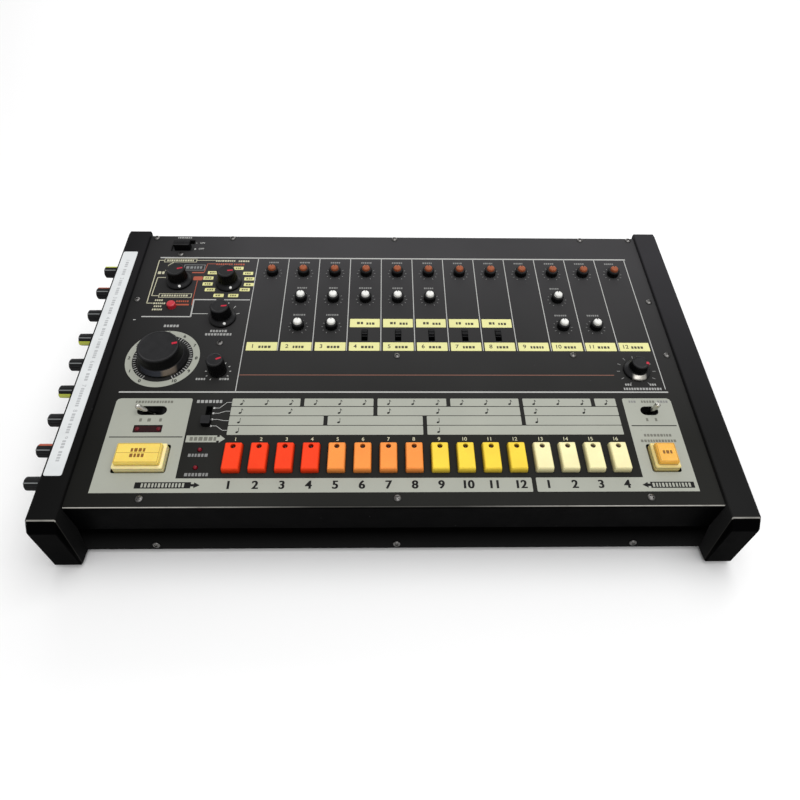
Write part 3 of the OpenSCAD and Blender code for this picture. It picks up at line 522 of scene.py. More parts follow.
finishes = {
    "panel_paint": panel_paint(),
    "tray_paint": tray_paint(),
    "cheek_plastic": cheek_plastic(),
    "screw_steel": metal("screw_steel", (0.16, 0.155, 0.15), rough=0.3),
    "foot_rubber": moulded(
        "foot_rubber", (0.006, 0.006, 0.006), rough=0.8, scale=1200, strength=0.5, specular=0.1
    ),
    "white_label": moulded("white_label", (0.67, 0.69, 0.695), rough=0.45, scale=900, strength=0.1),
    "lamp_red": lamp_lens("lamp_red"),
    "board_green": board_finish("board_green"),
    "transformer_iron": metal(
        "transformer_iron", (0.25, 0.22, 0.19), rough=0.5, scale=300, strength=0.5, stretch=(1, 40, 1)
    ),
    "knob_orange": capped_knob("knob_orange", (0.30, 0.082, 0.034)),
    "knob_white": capped_knob("knob_white", (0.80, 0.80, 0.77)),
    "knob_black": plain_black_knob("knob_black"),
    "lever_chrome": metal(
        "lever_chrome", (0.62, 0.61, 0.56), rough=0.2, scale=500, strength=0.06, shaded_under=0.6
    ),
    "button_amber": amber("button_amber", (0.91, 0.69, 0.15), (0.93, 0.80, 0.40), (0.5, 0.28, 0.04)),
    "clear_red": moulded("clear_red", (0.5, 0.02, 0.035), rough=0.28, scale=2000, strength=0.1, coat=0.2),
    "key_red": key_plastic("key_red", (0.87, 0.050, 0.010)),
    "key_orange": key_plastic("key_orange", (0.9, 0.29, 0.06)),
    "key_yellow": key_plastic("key_yellow", (0.88, 0.625, 0.056)),
    "key_cream": key_plastic("key_cream", (0.865, 0.79, 0.44)),
    "socket_black": socket_finish("socket_black"),
}
for part in frame["record"]["subparts"]:
    data = nodes[part["node"]].data
    data.materials.clear()
    data.materials.append(finishes[part["material_slot"]])

# Three pieces that differ from the others with their slot.
own_finishes = {
    "tempo_dial": knob_with_skirt(
        "dial_black", 0.4, TEMPO, top=5.7, far=14, half_width=14,
        sheen=(0.05, 0.054, 0.066), warm=(0.20, 0.165, 0.13),
    ),
    "master_volume_knob": knob_with_skirt(
        "volume_black", 0.34, VOLUME, top=4.3, far=8, half_width=5, sheen=(0.55, 0.53, 0.48)
    ),
    "tap_button": amber("tap_amber", (0.87, 0.46, 0.065), (0.76, 0.62, 0.25), (0.45, 0.2, 0.02)),
}
for node, finish in own_finishes.items():
    nodes[node].data.materials[0] = finish

PLAIN_INKS = {
    "white": (0.42, 0.42, 0.405),
    "ivory": (0.50, 0.48, 0.34),
    "cream": (0.72, 0.70, 0.31),
    "orange": (0.38, 0.08, 0.04),
    "rust": (0.22, 0.09, 0.06),
    "dim": (0.15, 0.15, 0.125),
    "mid": (0.33, 0.33, 0.32),
    "olive": (0.17, 0.16, 0.07),
    "cheek": (0.44, 0.45, 0.46),
    "label": (0.05, 0.045, 0.025),
    "faint": (0.20, 0.20, 0.195),
    "brown": (0.22, 0.09, 0.012),
    "pale": (0.20, 0.21, 0.21),
}
ink = {name: printed("print_" + name, tint) for name, tint in PLAIN_INKS.items()}
ink["grey"] = printed("print_grey", (0.35, 0.36, 0.31), vary=0.03)
ink["black"] = printed("print_black", (0.008, 0.008, 0.008), specular=0.1)

mark_red = moulded("mark_red", (0.50, 0.02, 0.045), rough=0.35, scale=900, strength=0.05, specular=0.2)
mark_lamp = moulded("mark_lamp", (0.11, 0.003, 0.009), rough=0.3, scale=900, strength=0.05, specular=0.2)
mark_lime = moulded("mark_lime", (0.50, 0.54, 0.05), rough=0.4, scale=900, strength=0.2)
mark_white = moulded("mark_white", (0.80, 0.80, 0.77), rough=0.35, scale=900, strength=0.05)


# ---- Flat shapes ----

# Heights between which the printing lies, each over the one before.
PRINT, OVERPRINT, TOP_PRINT = (0.0, 0.05), (0.05, 0.08), (0.08, 0.1)
# Least and greatest width of a stroke, and the gap after it, over its height.
STROKES, NARROW_STROKES = (0.5, 0.9, 0.28), (0.3, 0.5, 0.3)
STROKE_CORNER = 0.12
# The height of a figure over its font's size, and the step between its copies' faces.
FIGURE_SHARE, COPY_STEP = 0.7, 0.004


def rounded(u0, v0, u1, v1, r=0.0, steps=4):
    """Outline of a rectangle."""
    if r <= 0:
        return [(u0, v0), (u1, v0), (u1, v1), (u0, v1)]
    corners = ((u0, v0, 1, 1, 180), (u1, v0, -1, 1, 270), (u1, v1, -1, -1, 0), (u0, v1, 1, -1, 90))
    outline = []
    for u, v, du, dv, start in corners:
        for i in range(steps + 1):
            a = math.radians(start + 90 * i / steps)
            outline.append((u + r * (du + math.cos(a)), v + r * (dv + math.sin(a))))
    return outline


def around(centre, half_u, half_v, r=0.0):
    """Outline of a rectangle round a centre."""
    u, v = centre
    return rounded(u - half_u, v - half_v, u + half_u, v + half_v, r)


def slot_outline(centre, length, width, steps=8):
    """Outline with round ends, its length across the panel."""
    outline = []
    for side, start in ((1, -90), (-1, 90)):
        end_u = centre[0] + side * (length - width) / 2
        for i in range(steps + 1):
            a = math.radians(start + 180 * i / steps)
            outline.append((end_u + width / 2 * math.cos(a), centre[1] + width / 2 * math.sin(a)))
    return outline


class Layer:
    """Thin printed shapes, drawn on the panel in millimetres, that end up as one piece."""

    def __init__(self, name, material, level=PRINT, body="case"):
        self.name, self.material, self.body = name, material, body
        self.low, self.high = level
        self.middle, self.half = (self.low + self.high) / 2, (self.high - self.low) / 2
        self.mesh = bmesh.new()

    def __enter__(self):
        return self

    def __exit__(self, *error):
        bmesh.ops.transform(self.mesh, matrix=TO_PANEL, verts=self.mesh.verts)
        add_piece(self.name, self.mesh, self.material, self.body)

    def poly(self, outline):
        under = [self.mesh.verts.new((u, v, self.low)) for u, v in outline]
        over = [self.mesh.verts.new((u, v, self.high)) for u, v in outline]
        area = sum(a[0] * b[1] - b[0] * a[1] for a, b in zip(outline, outline[1:] + outline[:1]))
        if area < 0:
            under.reverse()
            over.reverse()
        self.mesh.faces.new(over)
        self.mesh.faces.new(list(reversed(under)))
        for i in range(len(under)):
            j = (i + 1) % len(under)
            self.mesh.faces.new((under[i], under[j], over[j], over[i]))

    def box(self, u0, v0, u1, v1, r=0.0):
        self.poly(rounded(u0, v0, u1, v1, r))

    def outlined(self, u0, v0, u1, v1, width):
        """Outline of a box, as a line of some width inside its edges."""
        for low, high in ((v0, v0 + width), (v1 - width, v1)):
            self.box(u0, low, u1, high)
        for low, high in ((u0, u0 + width), (u1 - width, u1)):
            self.box(low, v0 + width, high, v1 - width)

    def bar(self, start, end, width):
        a, b = Vector(start), Vector(end)
        side = (b - a).normalized().orthogonal() * width / 2
        self.poly([tuple(a - side), tuple(b - side), tuple(b + side), tuple(a + side)])

    def lines(self, *rows):
        """Bent lines, each given as its width and the points it joins."""
        for width, *points in rows:
            for a, b in zip(points, points[1:]):
                self.bar(a, b, width)
            for point in points[1:-1]:
                self.disc(point, width / 2, steps=8)

    def disc(self, centre, r, steps=12, squash=1.0, lean=0.0):
        turn = Matrix.Rotation(lean, 2)
        angles = [2 * math.pi * i / steps for i in range(steps)]
        spokes = [Vector((r * math.cos(a), r * squash * math.sin(a))) for a in angles]
        self.poly([tuple(Vector(centre) + turn @ spoke) for spoke in spokes])

    def ring(self, centre, inner, outer, steps=96):
        turns = [2 * math.pi * i / steps for i in range(steps + 1)]
        for a, b in zip(turns, turns[1:]):
            corners = ((inner, a), (inner, b), (outer, b), (outer, a))
            self.poly([(centre[0] + r * math.sin(t), centre[1] + r * math.cos(t)) for r, t in corners])

    def ticks(self, centre, inner, outer, bearings, width):
        """Marks round a centre, at bearings clockwise from up the slope."""
        for bearing in bearings:
            a = math.radians(bearing)
            direction = Vector((math.sin(a), math.cos(a)))
            self.bar(Vector(centre) + inner * direction, Vector(centre) + outer * direction, width)

    def arrow(self, ends, middle, box, neck, head):
        """A box, a neck and a pointed head, by the u of their ends and their half widths."""
        tail, box_end, neck_end, tip = ends
        steps = [(tail, box), (box_end, box), (box_end, neck), (neck_end, neck), (neck_end, head)]
        lower = [(u, middle - half) for u, half in steps]
        upper = [(u, middle + half) for u, half in reversed(steps)]
        self.poly(lower + [(tip, middle)] + upper)

    def absorb(self, data, to_mesh):
        """Adds what a curve or text fills, and drops the curve."""
        carrier = bpy.data.objects.new("carrier", data)
        bpy.context.scene.collection.objects.link(carrier)
        bpy.context.view_layer.update()
        evaluated = carrier.evaluated_get(bpy.context.evaluated_depsgraph_get())
        filled = bpy.data.meshes.new_from_object(evaluated)
        filled.transform(to_mesh)
        self.mesh.from_mesh(filled)
        bpy.data.meshes.remove(filled)
        bpy.data.objects.remove(carrier)
        bpy.data.curves.remove(data)

    def pierced(self, *outlines):
        """The first outline, with the others as holes."""
        data = bpy.data.curves.new("pierced", "CURVE")
        data.dimensions = "2D"
        data.fill_mode = "BOTH"
        data.extrude = self.half
        for outline in outlines:
            spline = data.splines.new("POLY")
            spline.points.add(len(outline) - 1)
            for point, (u, v) in zip(spline.points, outline):
                point.co = (u, v, 0, 1)
            spline.use_cyclic_u = True
        self.absorb(data, Matrix.Translation((0, 0, self.middle)))

    def text(self, words, at, height, turn=0.0, bold=0.0, weight=0.0):
        """Figures; weight thickens them with copies moved to each side."""
        for step in (-1, 0, 1) if weight else (0,):
            data = bpy.data.curves.new("words", "FONT")
            data.body = words
            data.size = height / FIGURE_SHARE
            data.align_x, data.align_y = "CENTER", "CENTER"
            data.offset = bold
            data.extrude = self.half + COPY_STEP * step
            place = Matrix.Translation((at[0] + step * weight, at[1], self.middle))
            self.absorb(data, place @ Matrix.Rotation(math.radians(turn), 4, "Z"))

    def legend(self, centre, width, height, seed, turn=0.0, strokes=STROKES):
        """A row of plain strokes, where words would be."""
        least, most, gap = strokes
        shuffle = random.Random(seed)
        spin = Matrix.Rotation(math.radians(turn), 2)
        at = -width / 2
        while at < width / 2 - height * 0.5:
            length = min(height * shuffle.uniform(least, most), width / 2 - at)
            stroke = rounded(at, -height / 2, at + length, height / 2, STROKE_CORNER, steps=1)
            self.poly([tuple(Vector(centre) + spin @ Vector(corner)) for corner in stroke])
            at += length + height * gap

    def legends(self, *rows):
        """Rows of strokes, each given as u, v, width, height and seed."""
        for u, v, width, height, seed in rows:
            self.legend((u, v), width, height, seed)


def add_piece(name, mesh, material, body, smooth=False):
    """A piece from a mesh in the frame, which moves with a body."""
    data = bpy.data.meshes.new(name)
    mesh.normal_update()
    mesh.to_mesh(data)
    mesh.free()
    data.materials.append(material)
    if smooth:
        data.shade_smooth()
    piece = bpy.data.objects.new(name, data)
    bpy.context.scene.collection.objects.link(piece)
    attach(piece, body)


# ---- Printing on the panel ----

# The two grey blocks: their outer sides, the heights of the whole and of the low
# strip; then each one's side, its strip's end, and its tall part's inner side.
GREY_U, GREY_LOW, GREY_HIGH, GREY_STRIP_HIGH = 217.6, 11.8, 94.4, 23.3
LEFT_BLOCK, RIGHT_BLOCK = (-1, 97.2, -159), (1, 100.4, 179)
# Grey bars over the keys, cut after some keys and with notes over some.
BAR_LEFT, BAR_RIGHT, HALF_CUT = -128, 173.4, 1.6
BARS = (
    # low, high, cut after, notes over
    (86.9, 94.2, (3, 6, 9, 12, 15), KEYS),
    (78.1, 86.2, (6, 12), range(1, 17, 2)),
    (69.2, 77.5, (4, 8, 12), (1, 5, 9, 13)),
    (60.4, 68.6, (8,), (1, 9)),
)
BARS_WITH_TAILED_NOTES = 2
# The scale round the tempo dial, and the bearings of the main marks on every scale.
TEMPO_RING = (-191, 135.2)
SCALE_MARKS = range(-150, 151, 30)
# The white frame, and the lines between channels.
FRAME_U, FRAME_LOW, FRAME_HIGH = 218, 100.6, 256.8
COLUMN_LEFT, COLUMN_RIGHT = -127, 216.6
# The channels' labels, and the ends of the two lines that pass them.
HALF_LABEL, LABEL_LOW, LABEL_HIGH = 12.8, 143.6, 152.8
UPPER_LABEL_LOW, UPPER_LABEL_HIGH = 170, 179.7
COLUMN_ENDS = {0: FRAME_LOW, len(CHANNELS): 103.5}
# Tags round the instrument knob.
INSTRUMENT_TAGS = (
    (-156.7, 207.6), (-165.5, 214.8), (-168.7, 222.1), (-169.3, 229.7), (-166.4, 236.7), (-143.8, 242.8),
    (-134.2, 236.1), (-132.2, 228.9), (-131.6, 221.5), (-134.6, 215), (-143.8, 207.5),
)


def grey_block(side, strip_end, tall_side):
    """Outline of a strip with a tall part at the panel's left (-1) or right (1) side."""
    outer = side * GREY_U
    return [
        (outer, GREY_LOW), (strip_end + side * 0.6, GREY_LOW), (strip_end, GREY_LOW + 0.6),
        (strip_end, GREY_STRIP_HIGH - 0.6), (strip_end + side * 0.6, GREY_STRIP_HIGH),
        (tall_side, GREY_STRIP_HIGH), (tall_side, GREY_HIGH - 1), (tall_side + side, GREY_HIGH),
        (outer - side * 3, GREY_HIGH), (outer - side * 0.9, GREY_HIGH - 0.9), (outer, GREY_HIGH - 3),
    ]


def note(layer, u, v, tail):
    stem_u = u + 0.95
    layer.disc((u, v - 1.7), 1.15, squash=0.72, lean=0.4)
    layer.bar((stem_u, v - 1.5), (stem_u, v + 2.4), 0.4)
    if tail:
        layer.bar((stem_u, v + 2.3), (u + 2.1, v + 0.7), 0.45)


with Layer("print_grey_blocks", ink["grey"]) as layer:
    layer.pierced(
        grey_block(*LEFT_BLOCK),
        slot_outline(VARIATION, 22.8, 8.6),
        around(WINDOW, 10.8, 3.4, 0.6),
        around(START, 19.7, 12.1, 1.8),
    )
    layer.pierced(
        grey_block(*RIGHT_BLOCK),
        slot_outline(FILL_LEVER, 14.2, 8.4),
        around(TAP, 10.8, 12, 1.8),
    )
    for low, high, cuts, _ in BARS:
        edges = [BAR_LEFT]
        for n in cuts:
            cut_u = key_u(n) + KEY_PITCH / 2 - 0.5
            edges += [cut_u - HALF_CUT, cut_u + HALF_CUT]
        edges.append(BAR_RIGHT)
        for left, right in zip(edges[::2], edges[1::2]):
            layer.box(left, low, right, high, 0.6)
    layer.ring(TEMPO_RING, 24.5, 29.9)
    layer.arrow((-157.6, -134.8, -132.8, -128.6), 56.9, box=3.0, neck=1.6, head=3.4)

# What is black on grey: notes, numbers, arrows and lines.
with Layer("print_notes", ink["black"], OVERPRINT) as layer:
    for row, (low, high, _, keys) in enumerate(BARS):
        for n in keys:
            note(layer, key_u(n), (low + high) / 2, tail=row < BARS_WITH_TAILED_NOTES)
    for n in KEYS:
        number = (n - 1) % KEYS_COUNTED_ON + 1
        at = (key_u(n) + (0 if n <= KEYS_COUNTED_ON else 1.2), 17.6)
        layer.text(str(number), at, 6.4, bold=0.15, weight=0.26)
    layer.lines((0.8, (-215, 58.6), (-160.5, 58.6)), (0.8, (181, 68.4), (216, 68.4)))
    layer.arrow((-186.8, -147.1, -144.9, -140.6), 17.8, box=2.5, neck=1.0, head=2.3)
    layer.arrow((215, 183.1, 181.2, 177.1), 17.1, box=2.5, neck=1.0, head=2.3)
    for number, bearing in enumerate(SCALE_MARKS):
        a = math.radians(bearing)
        at = (TEMPO_RING[0] + 27.3 * math.sin(a), TEMPO_RING[1] + 27.3 * math.cos(a))
        layer.text(str(number), at, 3.0, bold=0.06, weight=0.08)

# Dark grey words on the grey blocks.
with Layer("print_small_grey", ink["dim"], OVERPRINT) as layer:
    layer.legends(
        (-188, 91, 29, 2.3, 1), (-144.6, 56.9, 20.5, 3.4, 144),
        (-195.1, 74, 2, 2.9, 2), (-187.7, 74, 4.4, 2.9, 2), (-180, 74, 2, 2.9, 2),
        (199, 91.2, 10.5, 2.3, 3), (194.5, 74, 1.8, 2.9, 4), (201.5, 74, 1.8, 2.9, 4),
        (199, 59.6, 21, 2.3, 5), (199, 54.6, 28, 2.3, 6),
    )

# The small knobs' scales and words, and other faint marks.
with Layer("print_faint_marks", ink["faint"], OVERPRINT) as layer:
    for kind, v, channels, words_v, width, seed in SMALL_KNOBS:
        for n in channels:
            layer.ticks((channel_u(n), v), 7.2, 8.5, SCALE_MARKS, 0.5)
            layer.legend((channel_u(n), words_v), WIDE_WORDS.get((kind, n), width), 1.9, seed + n)
    layer.ticks(VOLUME, 13.4, 16, SCALE_MARKS, 0.6)
    layer.legends(
        (187.1, 91.2, 6.5, 2.2, 7), (210.9, 91.2, 8, 2.2, 8),
        (-146, 42.6, 15, 2.6, 69), (-144.8, 26.4, 17, 2.6, 70),
    )

# The frame, the lines between channels and knobs, scales, ON and OFF.
with Layer("print_white_lines", ink["white"]) as layer:
    layer.lines(
        (1.5, (-FRAME_U, FRAME_HIGH), (FRAME_U, FRAME_HIGH)),
        (1.3, (-FRAME_U, FRAME_LOW), (FRAME_U, FRAME_LOW)),
        (1.1, (-128.3, 202.2), (-151, 202.2)),
        (1.2, (-157.9, 202.3), (-177.4, 202.3), (-176.7, 181.7), (-218.8, 181.7)),
        (0.7, (-176.3, 185.3), (-162.6, 185.3)),
        (0.6, (-141.2, 192), (-139.6, 194.6)),
        (0.6, (-138, 185), (-135.2, 186)),
        (0.8, (-225, 178), (-222.8, 178)),
    )
    for k in range(len(CHANNELS) + 1):
        u = COLUMN_LEFT + (COLUMN_RIGHT - COLUMN_LEFT) * k / len(CHANNELS)
        layer.bar((u, FRAME_HIGH), (u, COLUMN_ENDS.get(k, LABEL_LOW)), 0.7)
    layer.ticks(FINE, 9.0, 10.4, SCALE_MARKS, 0.8)
    layer.ticks(TEMPO_RING, 21.6, 23.8, [a for a in range(-150, 151, 6) if a not in SCALE_MARKS], 0.45)
    layer.ticks(TEMPO_RING, 21.2, 24.5, SCALE_MARKS, 0.6)
    layer.text("ON", (-182.6, 277.6), 2.0, bold=0.04)
    layer.text("OFF", (-182.4, 269.3), 2.0, bold=0.04)
    layer.disc((-188.1, 277.4), 0.4, steps=10)
    layer.disc((-188.1, 269), 0.9)
    layer.disc((-146.3, 198.2), 0.6, steps=10)
    for v, (low, high, _, _) in zip((85.1, 80.2, 74.5, 68.5), BARS):
        bar_v = (low + high) / 2
        layer.lines((0.45, (-140.6, v), (-136.9, v), (-131.8, bar_v), (-128.2, bar_v)))
        layer.disc((-140.9, v), 0.9)

# Words beside the larger knobs and the switches.
with Layer("print_mid_words", ink["mid"]) as layer:
    layer.legends(
        (-156, 113.6, 8.6, 2.0, 61), (-137.6, 113.6, 8, 2.0, 62),
        (-149.5, 165.2, 15.4, 2.5, 63), (-149.8, 161.4, 22, 2.5, 64),
        (-190.8, 170.9, 13, 2.7, 65), (198.2, 103.9, 30.5, 2.3, 66),
        (187.7, 108.2, 5.5, 2.0, 60), (207.7, 108.2, 5.5, 2.0, 60),
        (-200.5, 285, 13, 1.9, 67), (-145.4, 91.4, 20, 2.8, 68),
    )

# Numbers over the keys, and the words, boxes and lines round the mode knob.
with Layer("print_ivory_words", ink["ivory"]) as layer:
    for n in KEYS:
        at = (key_u(n) + (0 if n <= KEYS_COUNTED_ON else 0.5), 56.4)
        layer.text(str(n), at, 3.0, bold=0.06)
    layer.outlined(-213.5, 250.6, -183.6, 255.4, 0.55)
    layer.outlined(-209.4, 204.7, -180.4, 209.8, 0.55)
    layer.legends(
        (-198.6, 253, 25, 2.2, 141), (-194.9, 207.2, 24, 2.2, 142),
        (-156.5, 252.7, 19, 2.1, 71), (-140, 252.4, 10, 2.1, 72),
        (-207.4, 201.4, 8, 1.9, 73), (-206.6, 197.6, 11, 1.9, 74),
        (-207.6, 194, 6.5, 1.9, 75), (-206.6, 190.2, 10, 1.9, 76),
        (-212.3, 236.4, 7.5, 3.4, 77),
    )
    layer.lines(
        (0.6, (-183.6, 253.2), (-166.3, 253.4)),
        (0.8, (-213.6, 253.2), (-218.2, 253.1), (-217.8, 197.8), (-212.6, 197.8)),
        (0.8, (-204.5, 250.4), (-208.2, 247), (-209.6, 239)),
        (0.7, (-207.6, 230.2), (-215, 230.2), (-215.5, 207), (-209.4, 207)),
    )

with Layer("print_rust_line", ink["rust"]) as layer:
    layer.bar((COLUMN_LEFT + 0.6, 117.8), (178, 117.8), 0.7)

with Layer("print_cream_labels", ink["cream"]) as layer:
    for channels, low, high in (
        (CHANNELS, LABEL_LOW, LABEL_HIGH),
        (SWITCH_CHANNELS, UPPER_LABEL_LOW, UPPER_LABEL_HIGH),
    ):
        for n in channels:
            layer.box(channel_u(n) - HALF_LABEL, low, channel_u(n) + HALF_LABEL, high, 0.3)
    for tag in INSTRUMENT_TAGS:
        layer.poly(around(tag, 4.5, 2, 0.4))

# Words, bars and lines between the mode knob and the instrument knob.
with Layer("print_orange_lines", ink["orange"]) as layer:
    layer.legends(
        (-157.5, 248.2, 15, 2.0, 81), (-143.3, 248, 10.6, 2.0, 82), (-186.8, 200.2, 11.6, 2.0, 83)
    )
    layer.lines(
        (0.6, (-165.2, 248.6), (-173, 248.6), (-174.3, 237)),
        (0.6, (-174.4, 229.6), (-169.5, 229.7)),
        (0.6, (-178.6, 226.4), (-178.4, 195.6)),
    )
    layer.box(-185.2, 236.1, -174.6, 237.5, 0.2)
    layer.box(-182.8, 226.8, -174.4, 231.8, 1.2)
    layer.box(-192.2, 195.2, -180.8, 197, 0.2)

with Layer("print_pale_box", ink["pale"]) as layer:
    layer.outlined(-193.9, 239.8, -174.7, 247.4, 0.6)
    layer.legend((-184.3, 243.6), 15, 3.2, 143)

# The channels' numbers and words.
with Layer("print_on_labels", ink["label"], OVERPRINT) as layer:
    for n in CHANNELS:
        layer.text(str(n), (channel_u(n) - 7.6, 148.2), 4.0, bold=0.08)
        layer.legend((channel_u(n) + 2.8, 147.6), 11, 2.6, 100 + n)
    for n in SWITCH_CHANNELS:
        layer.legend((channel_u(n) - 3.8, 174.8), 6, 2.8, 120 + n)
        layer.legend((channel_u(n) + 4.8, 174.2), 7, 2.6, 130 + n)

with Layer("print_on_tags", ink["olive"], OVERPRINT) as layer:
    for k, tag in enumerate(INSTRUMENT_TAGS):
        layer.legend(tag, 5.4, 2.0, 170 + k)

# Grey strokes in the two black arrows.
with Layer("print_arrow_marks", ink["grey"], TOP_PRINT) as layer:
    layer.legend((-166, 17.8), 32.6, 3.3, 151, strokes=NARROW_STROKES)
    layer.legend((199, 17.1), 29, 3.3, 152, strokes=NARROW_STROKES)


# ---- Marks on the two large buttons ----

# The marks' heights, their line's width and its inset from the cap's edge.
ON_BUTTON, BUTTON_LINE, BUTTON_INSET = (BUTTON_H - 0.02, BUTTON_H + 0.03), 0.22, 2.8
ROW_PITCH = 4.6


def button_marks(node, at, width, length, rows, row_width, height):
    """A line round the raised top, rows of strokes on it, and a line between two rows."""
    left, right = at[0] - width / 2 + BUTTON_INSET, at[0] + width / 2 - BUTTON_INSET
    low, high = at[1] - length / 2 + BUTTON_INSET, at[1] + length / 2 - BUTTON_INSET
    with Layer(node + "_marks", ink["brown"], ON_BUTTON, body=node) as marks:
        marks.outlined(left, low, right, high, BUTTON_LINE)
        if rows > 1:
            marks.bar((left, at[1]), (right, at[1]), BUTTON_LINE)
        for k in range(rows):
            row_v = at[1] - (k - (rows - 1) / 2) * ROW_PITCH
            marks.legend((at[0], row_v), row_width, height, 180 + k)


button_marks("start_stop_button", START, width=36.4, length=21.2, rows=2, row_width=10.4, height=3.0)
button_marks("tap_button", TAP, width=18.6, length=21, rows=1, row_width=6.8, height=2.8)


# ---- Strip on the left cheek ----

# The strip's surface, the rearmost label's place on it, and the labels' pitch.
STRIP_TOP = DROP + 0.4
STRIP_U, STRIP_V, STRIP_PITCH = -245, 250.6, 24.15


# A number and two words for each side knob, read from the left.
with Layer("strip_marks", ink["cheek"], (STRIP_TOP, STRIP_TOP + 0.03)) as layer:
    for n in range(1, SIDE_COUNT + 1):
        v = STRIP_V - (n - 1) * STRIP_PITCH
        layer.text(str(n), (STRIP_U, v - 1.4), 3.2, turn=-90, bold=0.05)
        layer.legend((STRIP_U, v - 8), 8.4, 2.6, 160 + n, turn=-90)
        layer.legend((STRIP_U, v - 17.4), 8.6, 2.6, 190 + n, turn=-90)


# ---- Marks on the knobs ----

# Heights of a pointer's ends over the knob's top, and its thickness.
POINTER_SUNK, POINTER_PROUD, POINTER_THICK = -0.02, 0.08, 0.35
POINTERS = (
    # node, place, bearing, inner end, outer end, height of the knob, width
    ("tempo_dial", TEMPO, 76, 11, 15.2, 16.0, 1.9),
    ("mode_knob", MODE, 75, 1.5, 6.5, 15.25, 1.5),
    ("instrument_knob", INSTRUMENT, 85, 1.5, 6.5, 15.25, 1.5),
    ("fill_knob", FILL, 85, 1.5, 6.5, 15.25, 1.5),
    ("fine_tempo_knob", FINE, 65, 1.2, 5.4, 14.75, 1.5),
)
# The volume knob's pointer runs over its rim: distances from the axis, and heights.
VOLUME_PROFILE = [(4.6, 11.98), (6.1, 12.1), (6.88, 11.3), (6.96, 7.0)]
# White spots on three skirts: their bearings, radius, distance, height and lean.
SPOTS = (("mode_knob", MODE, 165), ("instrument_knob", INSTRUMENT, 160), ("fill_knob", FILL, 160))
SPOT_R, SPOT_REACH, SPOT_H, SPOT_LEAN = 1.2, 9.9, 3.5, 38
LAMP_R, LAMP_H, LAMP_OFFSET = 1.7, -0.3, 8
# A notch in each small knob's cap.
NOTCH_START, NOTCH_END, NOTCH_H, NOTCH_WIDTH = 0.6, 2.7, 8.36, 0.6
MARK_THICK, BAND_STEPS = 0.12, 12
SIDE_MARKS = (
    # kind, knobs, material, middle and spread in degrees, low, high
    ("pointer", range(1, SIDE_COUNT + 1), ink["pale"], -25, 8, 2.5, 13.0),
    ("tape", (4, 6), mark_lime, -80, 46, 1.5, 13.1),
    ("tape", (1,), mark_lime, 28, 34, 1.5, 12.6),
    ("tape", (2, 8), ink["orange"], 32, 34, 2.0, 12.0),
)


def knob_place(at, bearing):
    """A knob's own frame, +Y at a bearing clockwise from up the slope."""
    return TO_PANEL @ Matrix.Translation((*at, 0)) @ Matrix.Rotation(-math.radians(bearing), 4, "Z")


def flat_profile(inner, outer, top):
    return [(inner, top + POINTER_SUNK), (outer, top + POINTER_PROUD)]


def pointer(name, node, at, bearing, profile, width, material, inset=0.0):
    """A strip on a knob, its top along a profile; inset keeps its underside in a wall."""
    mesh = bmesh.new()
    loop = profile + [(y - inset, z - POINTER_THICK) for y, z in reversed(profile)]
    sides = [[mesh.verts.new((x, y, z)) for y, z in loop] for x in (-width / 2, width / 2)]
    count = len(loop)
    for i in range(count):
        j = (i + 1) % count
        mesh.faces.new((sides[0][i], sides[0][j], sides[1][j], sides[1][i]))
    for i in range(len(profile) - 1):
        far = count - 1 - i
        mesh.faces.new((sides[0][i], sides[0][far], sides[0][far - 1], sides[0][i + 1]))
        mesh.faces.new((sides[1][i + 1], sides[1][far - 1], sides[1][far], sides[1][i]))
    bmesh.ops.recalc_face_normals(mesh, faces=mesh.faces)
    bmesh.ops.transform(mesh, matrix=knob_place(at, bearing), verts=mesh.verts)
    add_piece(name, mesh, material, node)


def flat_dome(name, node, place, r, squash, segments, material):
    mesh = bmesh.new()
    bmesh.ops.create_uvsphere(mesh, u_segments=segments, v_segments=segments // 2, radius=r)
    bmesh.ops.scale(mesh, vec=(1, 1, squash), verts=mesh.verts)
    bmesh.ops.transform(mesh, matrix=place, verts=mesh.verts)
    add_piece(name, mesh, material, node, smooth=True)


def side_place(n):
    """A side knob's own frame: +Z out of the cheek."""
    v = SIDE_V + (SIDE_COUNT - n) * SIDE_PITCH
    at_cheek = Matrix.Translation((-CASE_W / 2, v, DROP - SIDE_DEPTH))
    return TO_PANEL @ at_cheek @ Matrix.Rotation(-math.pi / 2, 4, "Y")


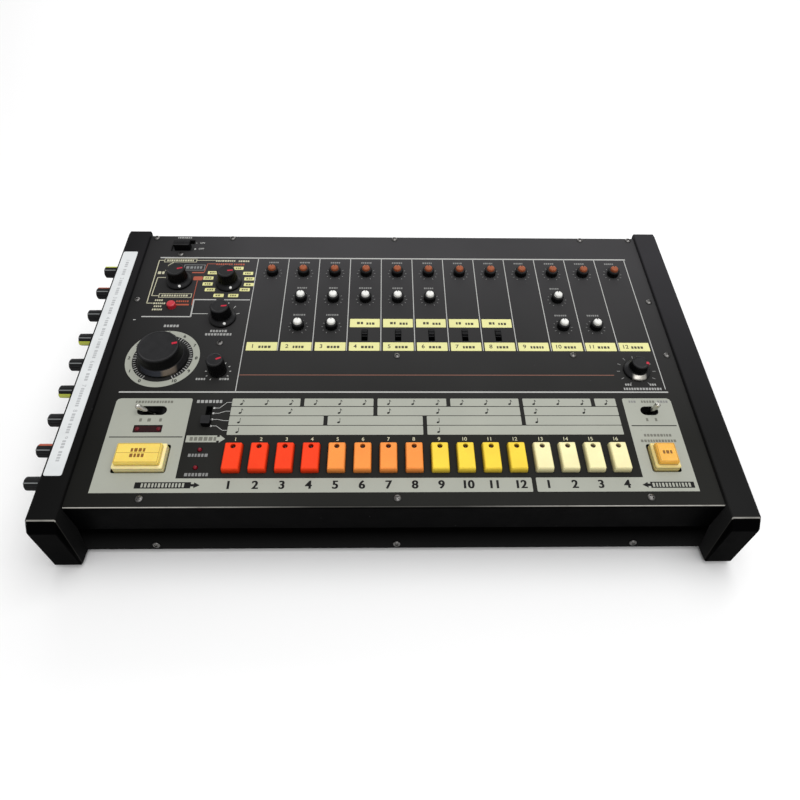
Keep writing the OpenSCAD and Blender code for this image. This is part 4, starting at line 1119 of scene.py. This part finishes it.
def band(name, n, material, middle, spread, low, high):
    """A curved mark round part of a side knob; middle 0 faces up."""
    mesh = bmesh.new()
    outer = SIDE_R + MARK_THICK
    section = ((SIDE_R, low), (outer, low), (outer, high), (SIDE_R, high))
    rings = []
    for i in range(BAND_STEPS + 1):
        a = math.radians(middle - spread / 2 + spread * i / BAND_STEPS)
        rings.append([mesh.verts.new((r * math.cos(a), r * math.sin(a), z)) for r, z in section])
    for first, second in zip(rings, rings[1:]):
        for i in range(len(section)):
            j = (i + 1) % len(section)
            mesh.faces.new((first[i], first[j], second[j], second[i]))
    mesh.faces.new(rings[0])
    mesh.faces.new(list(reversed(rings[-1])))
    bmesh.ops.recalc_face_normals(mesh, faces=mesh.faces)
    bmesh.ops.transform(mesh, matrix=side_place(n), verts=mesh.verts)
    add_piece(name, mesh, material, "side_knob_%d" % n)


for node, at, bearing, inner, outer, top, width in POINTERS:
    profile = flat_profile(inner, outer, top)
    pointer(node + "_pointer", node, at, bearing, profile, width, mark_red)
pointer(
    "master_volume_knob_pointer", "master_volume_knob", VOLUME, 100, VOLUME_PROFILE, 2.3, mark_red, inset=0.3
)
for node, at, bearing in SPOTS:
    lean = Matrix.Rotation(-math.radians(SPOT_LEAN), 4, "X")
    place = knob_place(at, bearing) @ Matrix.Translation((0, SPOT_REACH, SPOT_H)) @ lean
    flat_dome(node + "_spot", node, place, SPOT_R, squash=0.35, segments=20, material=mark_white)
notch = flat_profile(NOTCH_START, NOTCH_END, NOTCH_H)
for kind, v, channels, *_ in SMALL_KNOBS:
    for n in channels:
        node = "%s_knob_%d" % (kind, n)
        pointer(node + "_notch", node, (channel_u(n), v), 0, notch, NOTCH_WIDTH, ink["black"])
for side, letter in ((-1, "a"), (1, "b")):
    place = TO_PANEL @ Matrix.Translation((WINDOW[0] + side * LAMP_OFFSET, WINDOW[1], LAMP_H))
    flat_dome("window_lamp_" + letter, "case", place, LAMP_R, squash=0.6, segments=24, material=mark_lamp)
for kind, knobs, material, *arc in SIDE_MARKS:
    for n in knobs:
        band("side_%s_%d" % (kind, n), n, material, *arc)


# ---- Floor ----

FLOOR_REACH = 4


def lay_floor():
    look = Finish("floor", 0.6, specular=0.2)
    look.grain(scale=40, strength=0.02, distance=0.5, vary=0.05)
    mesh = bmesh.new()
    bmesh.ops.create_grid(mesh, x_segments=4, y_segments=4, size=FLOOR_REACH)
    data = bpy.data.meshes.new("floor")
    mesh.to_mesh(data)
    mesh.free()
    data.materials.append(look.finish(look.colour((0.955, 0.955, 0.955), vary=0.005, scale=3)))
    floor = bpy.data.objects.new("floor", data)
    bpy.context.scene.collection.objects.link(floor)


lay_floor()
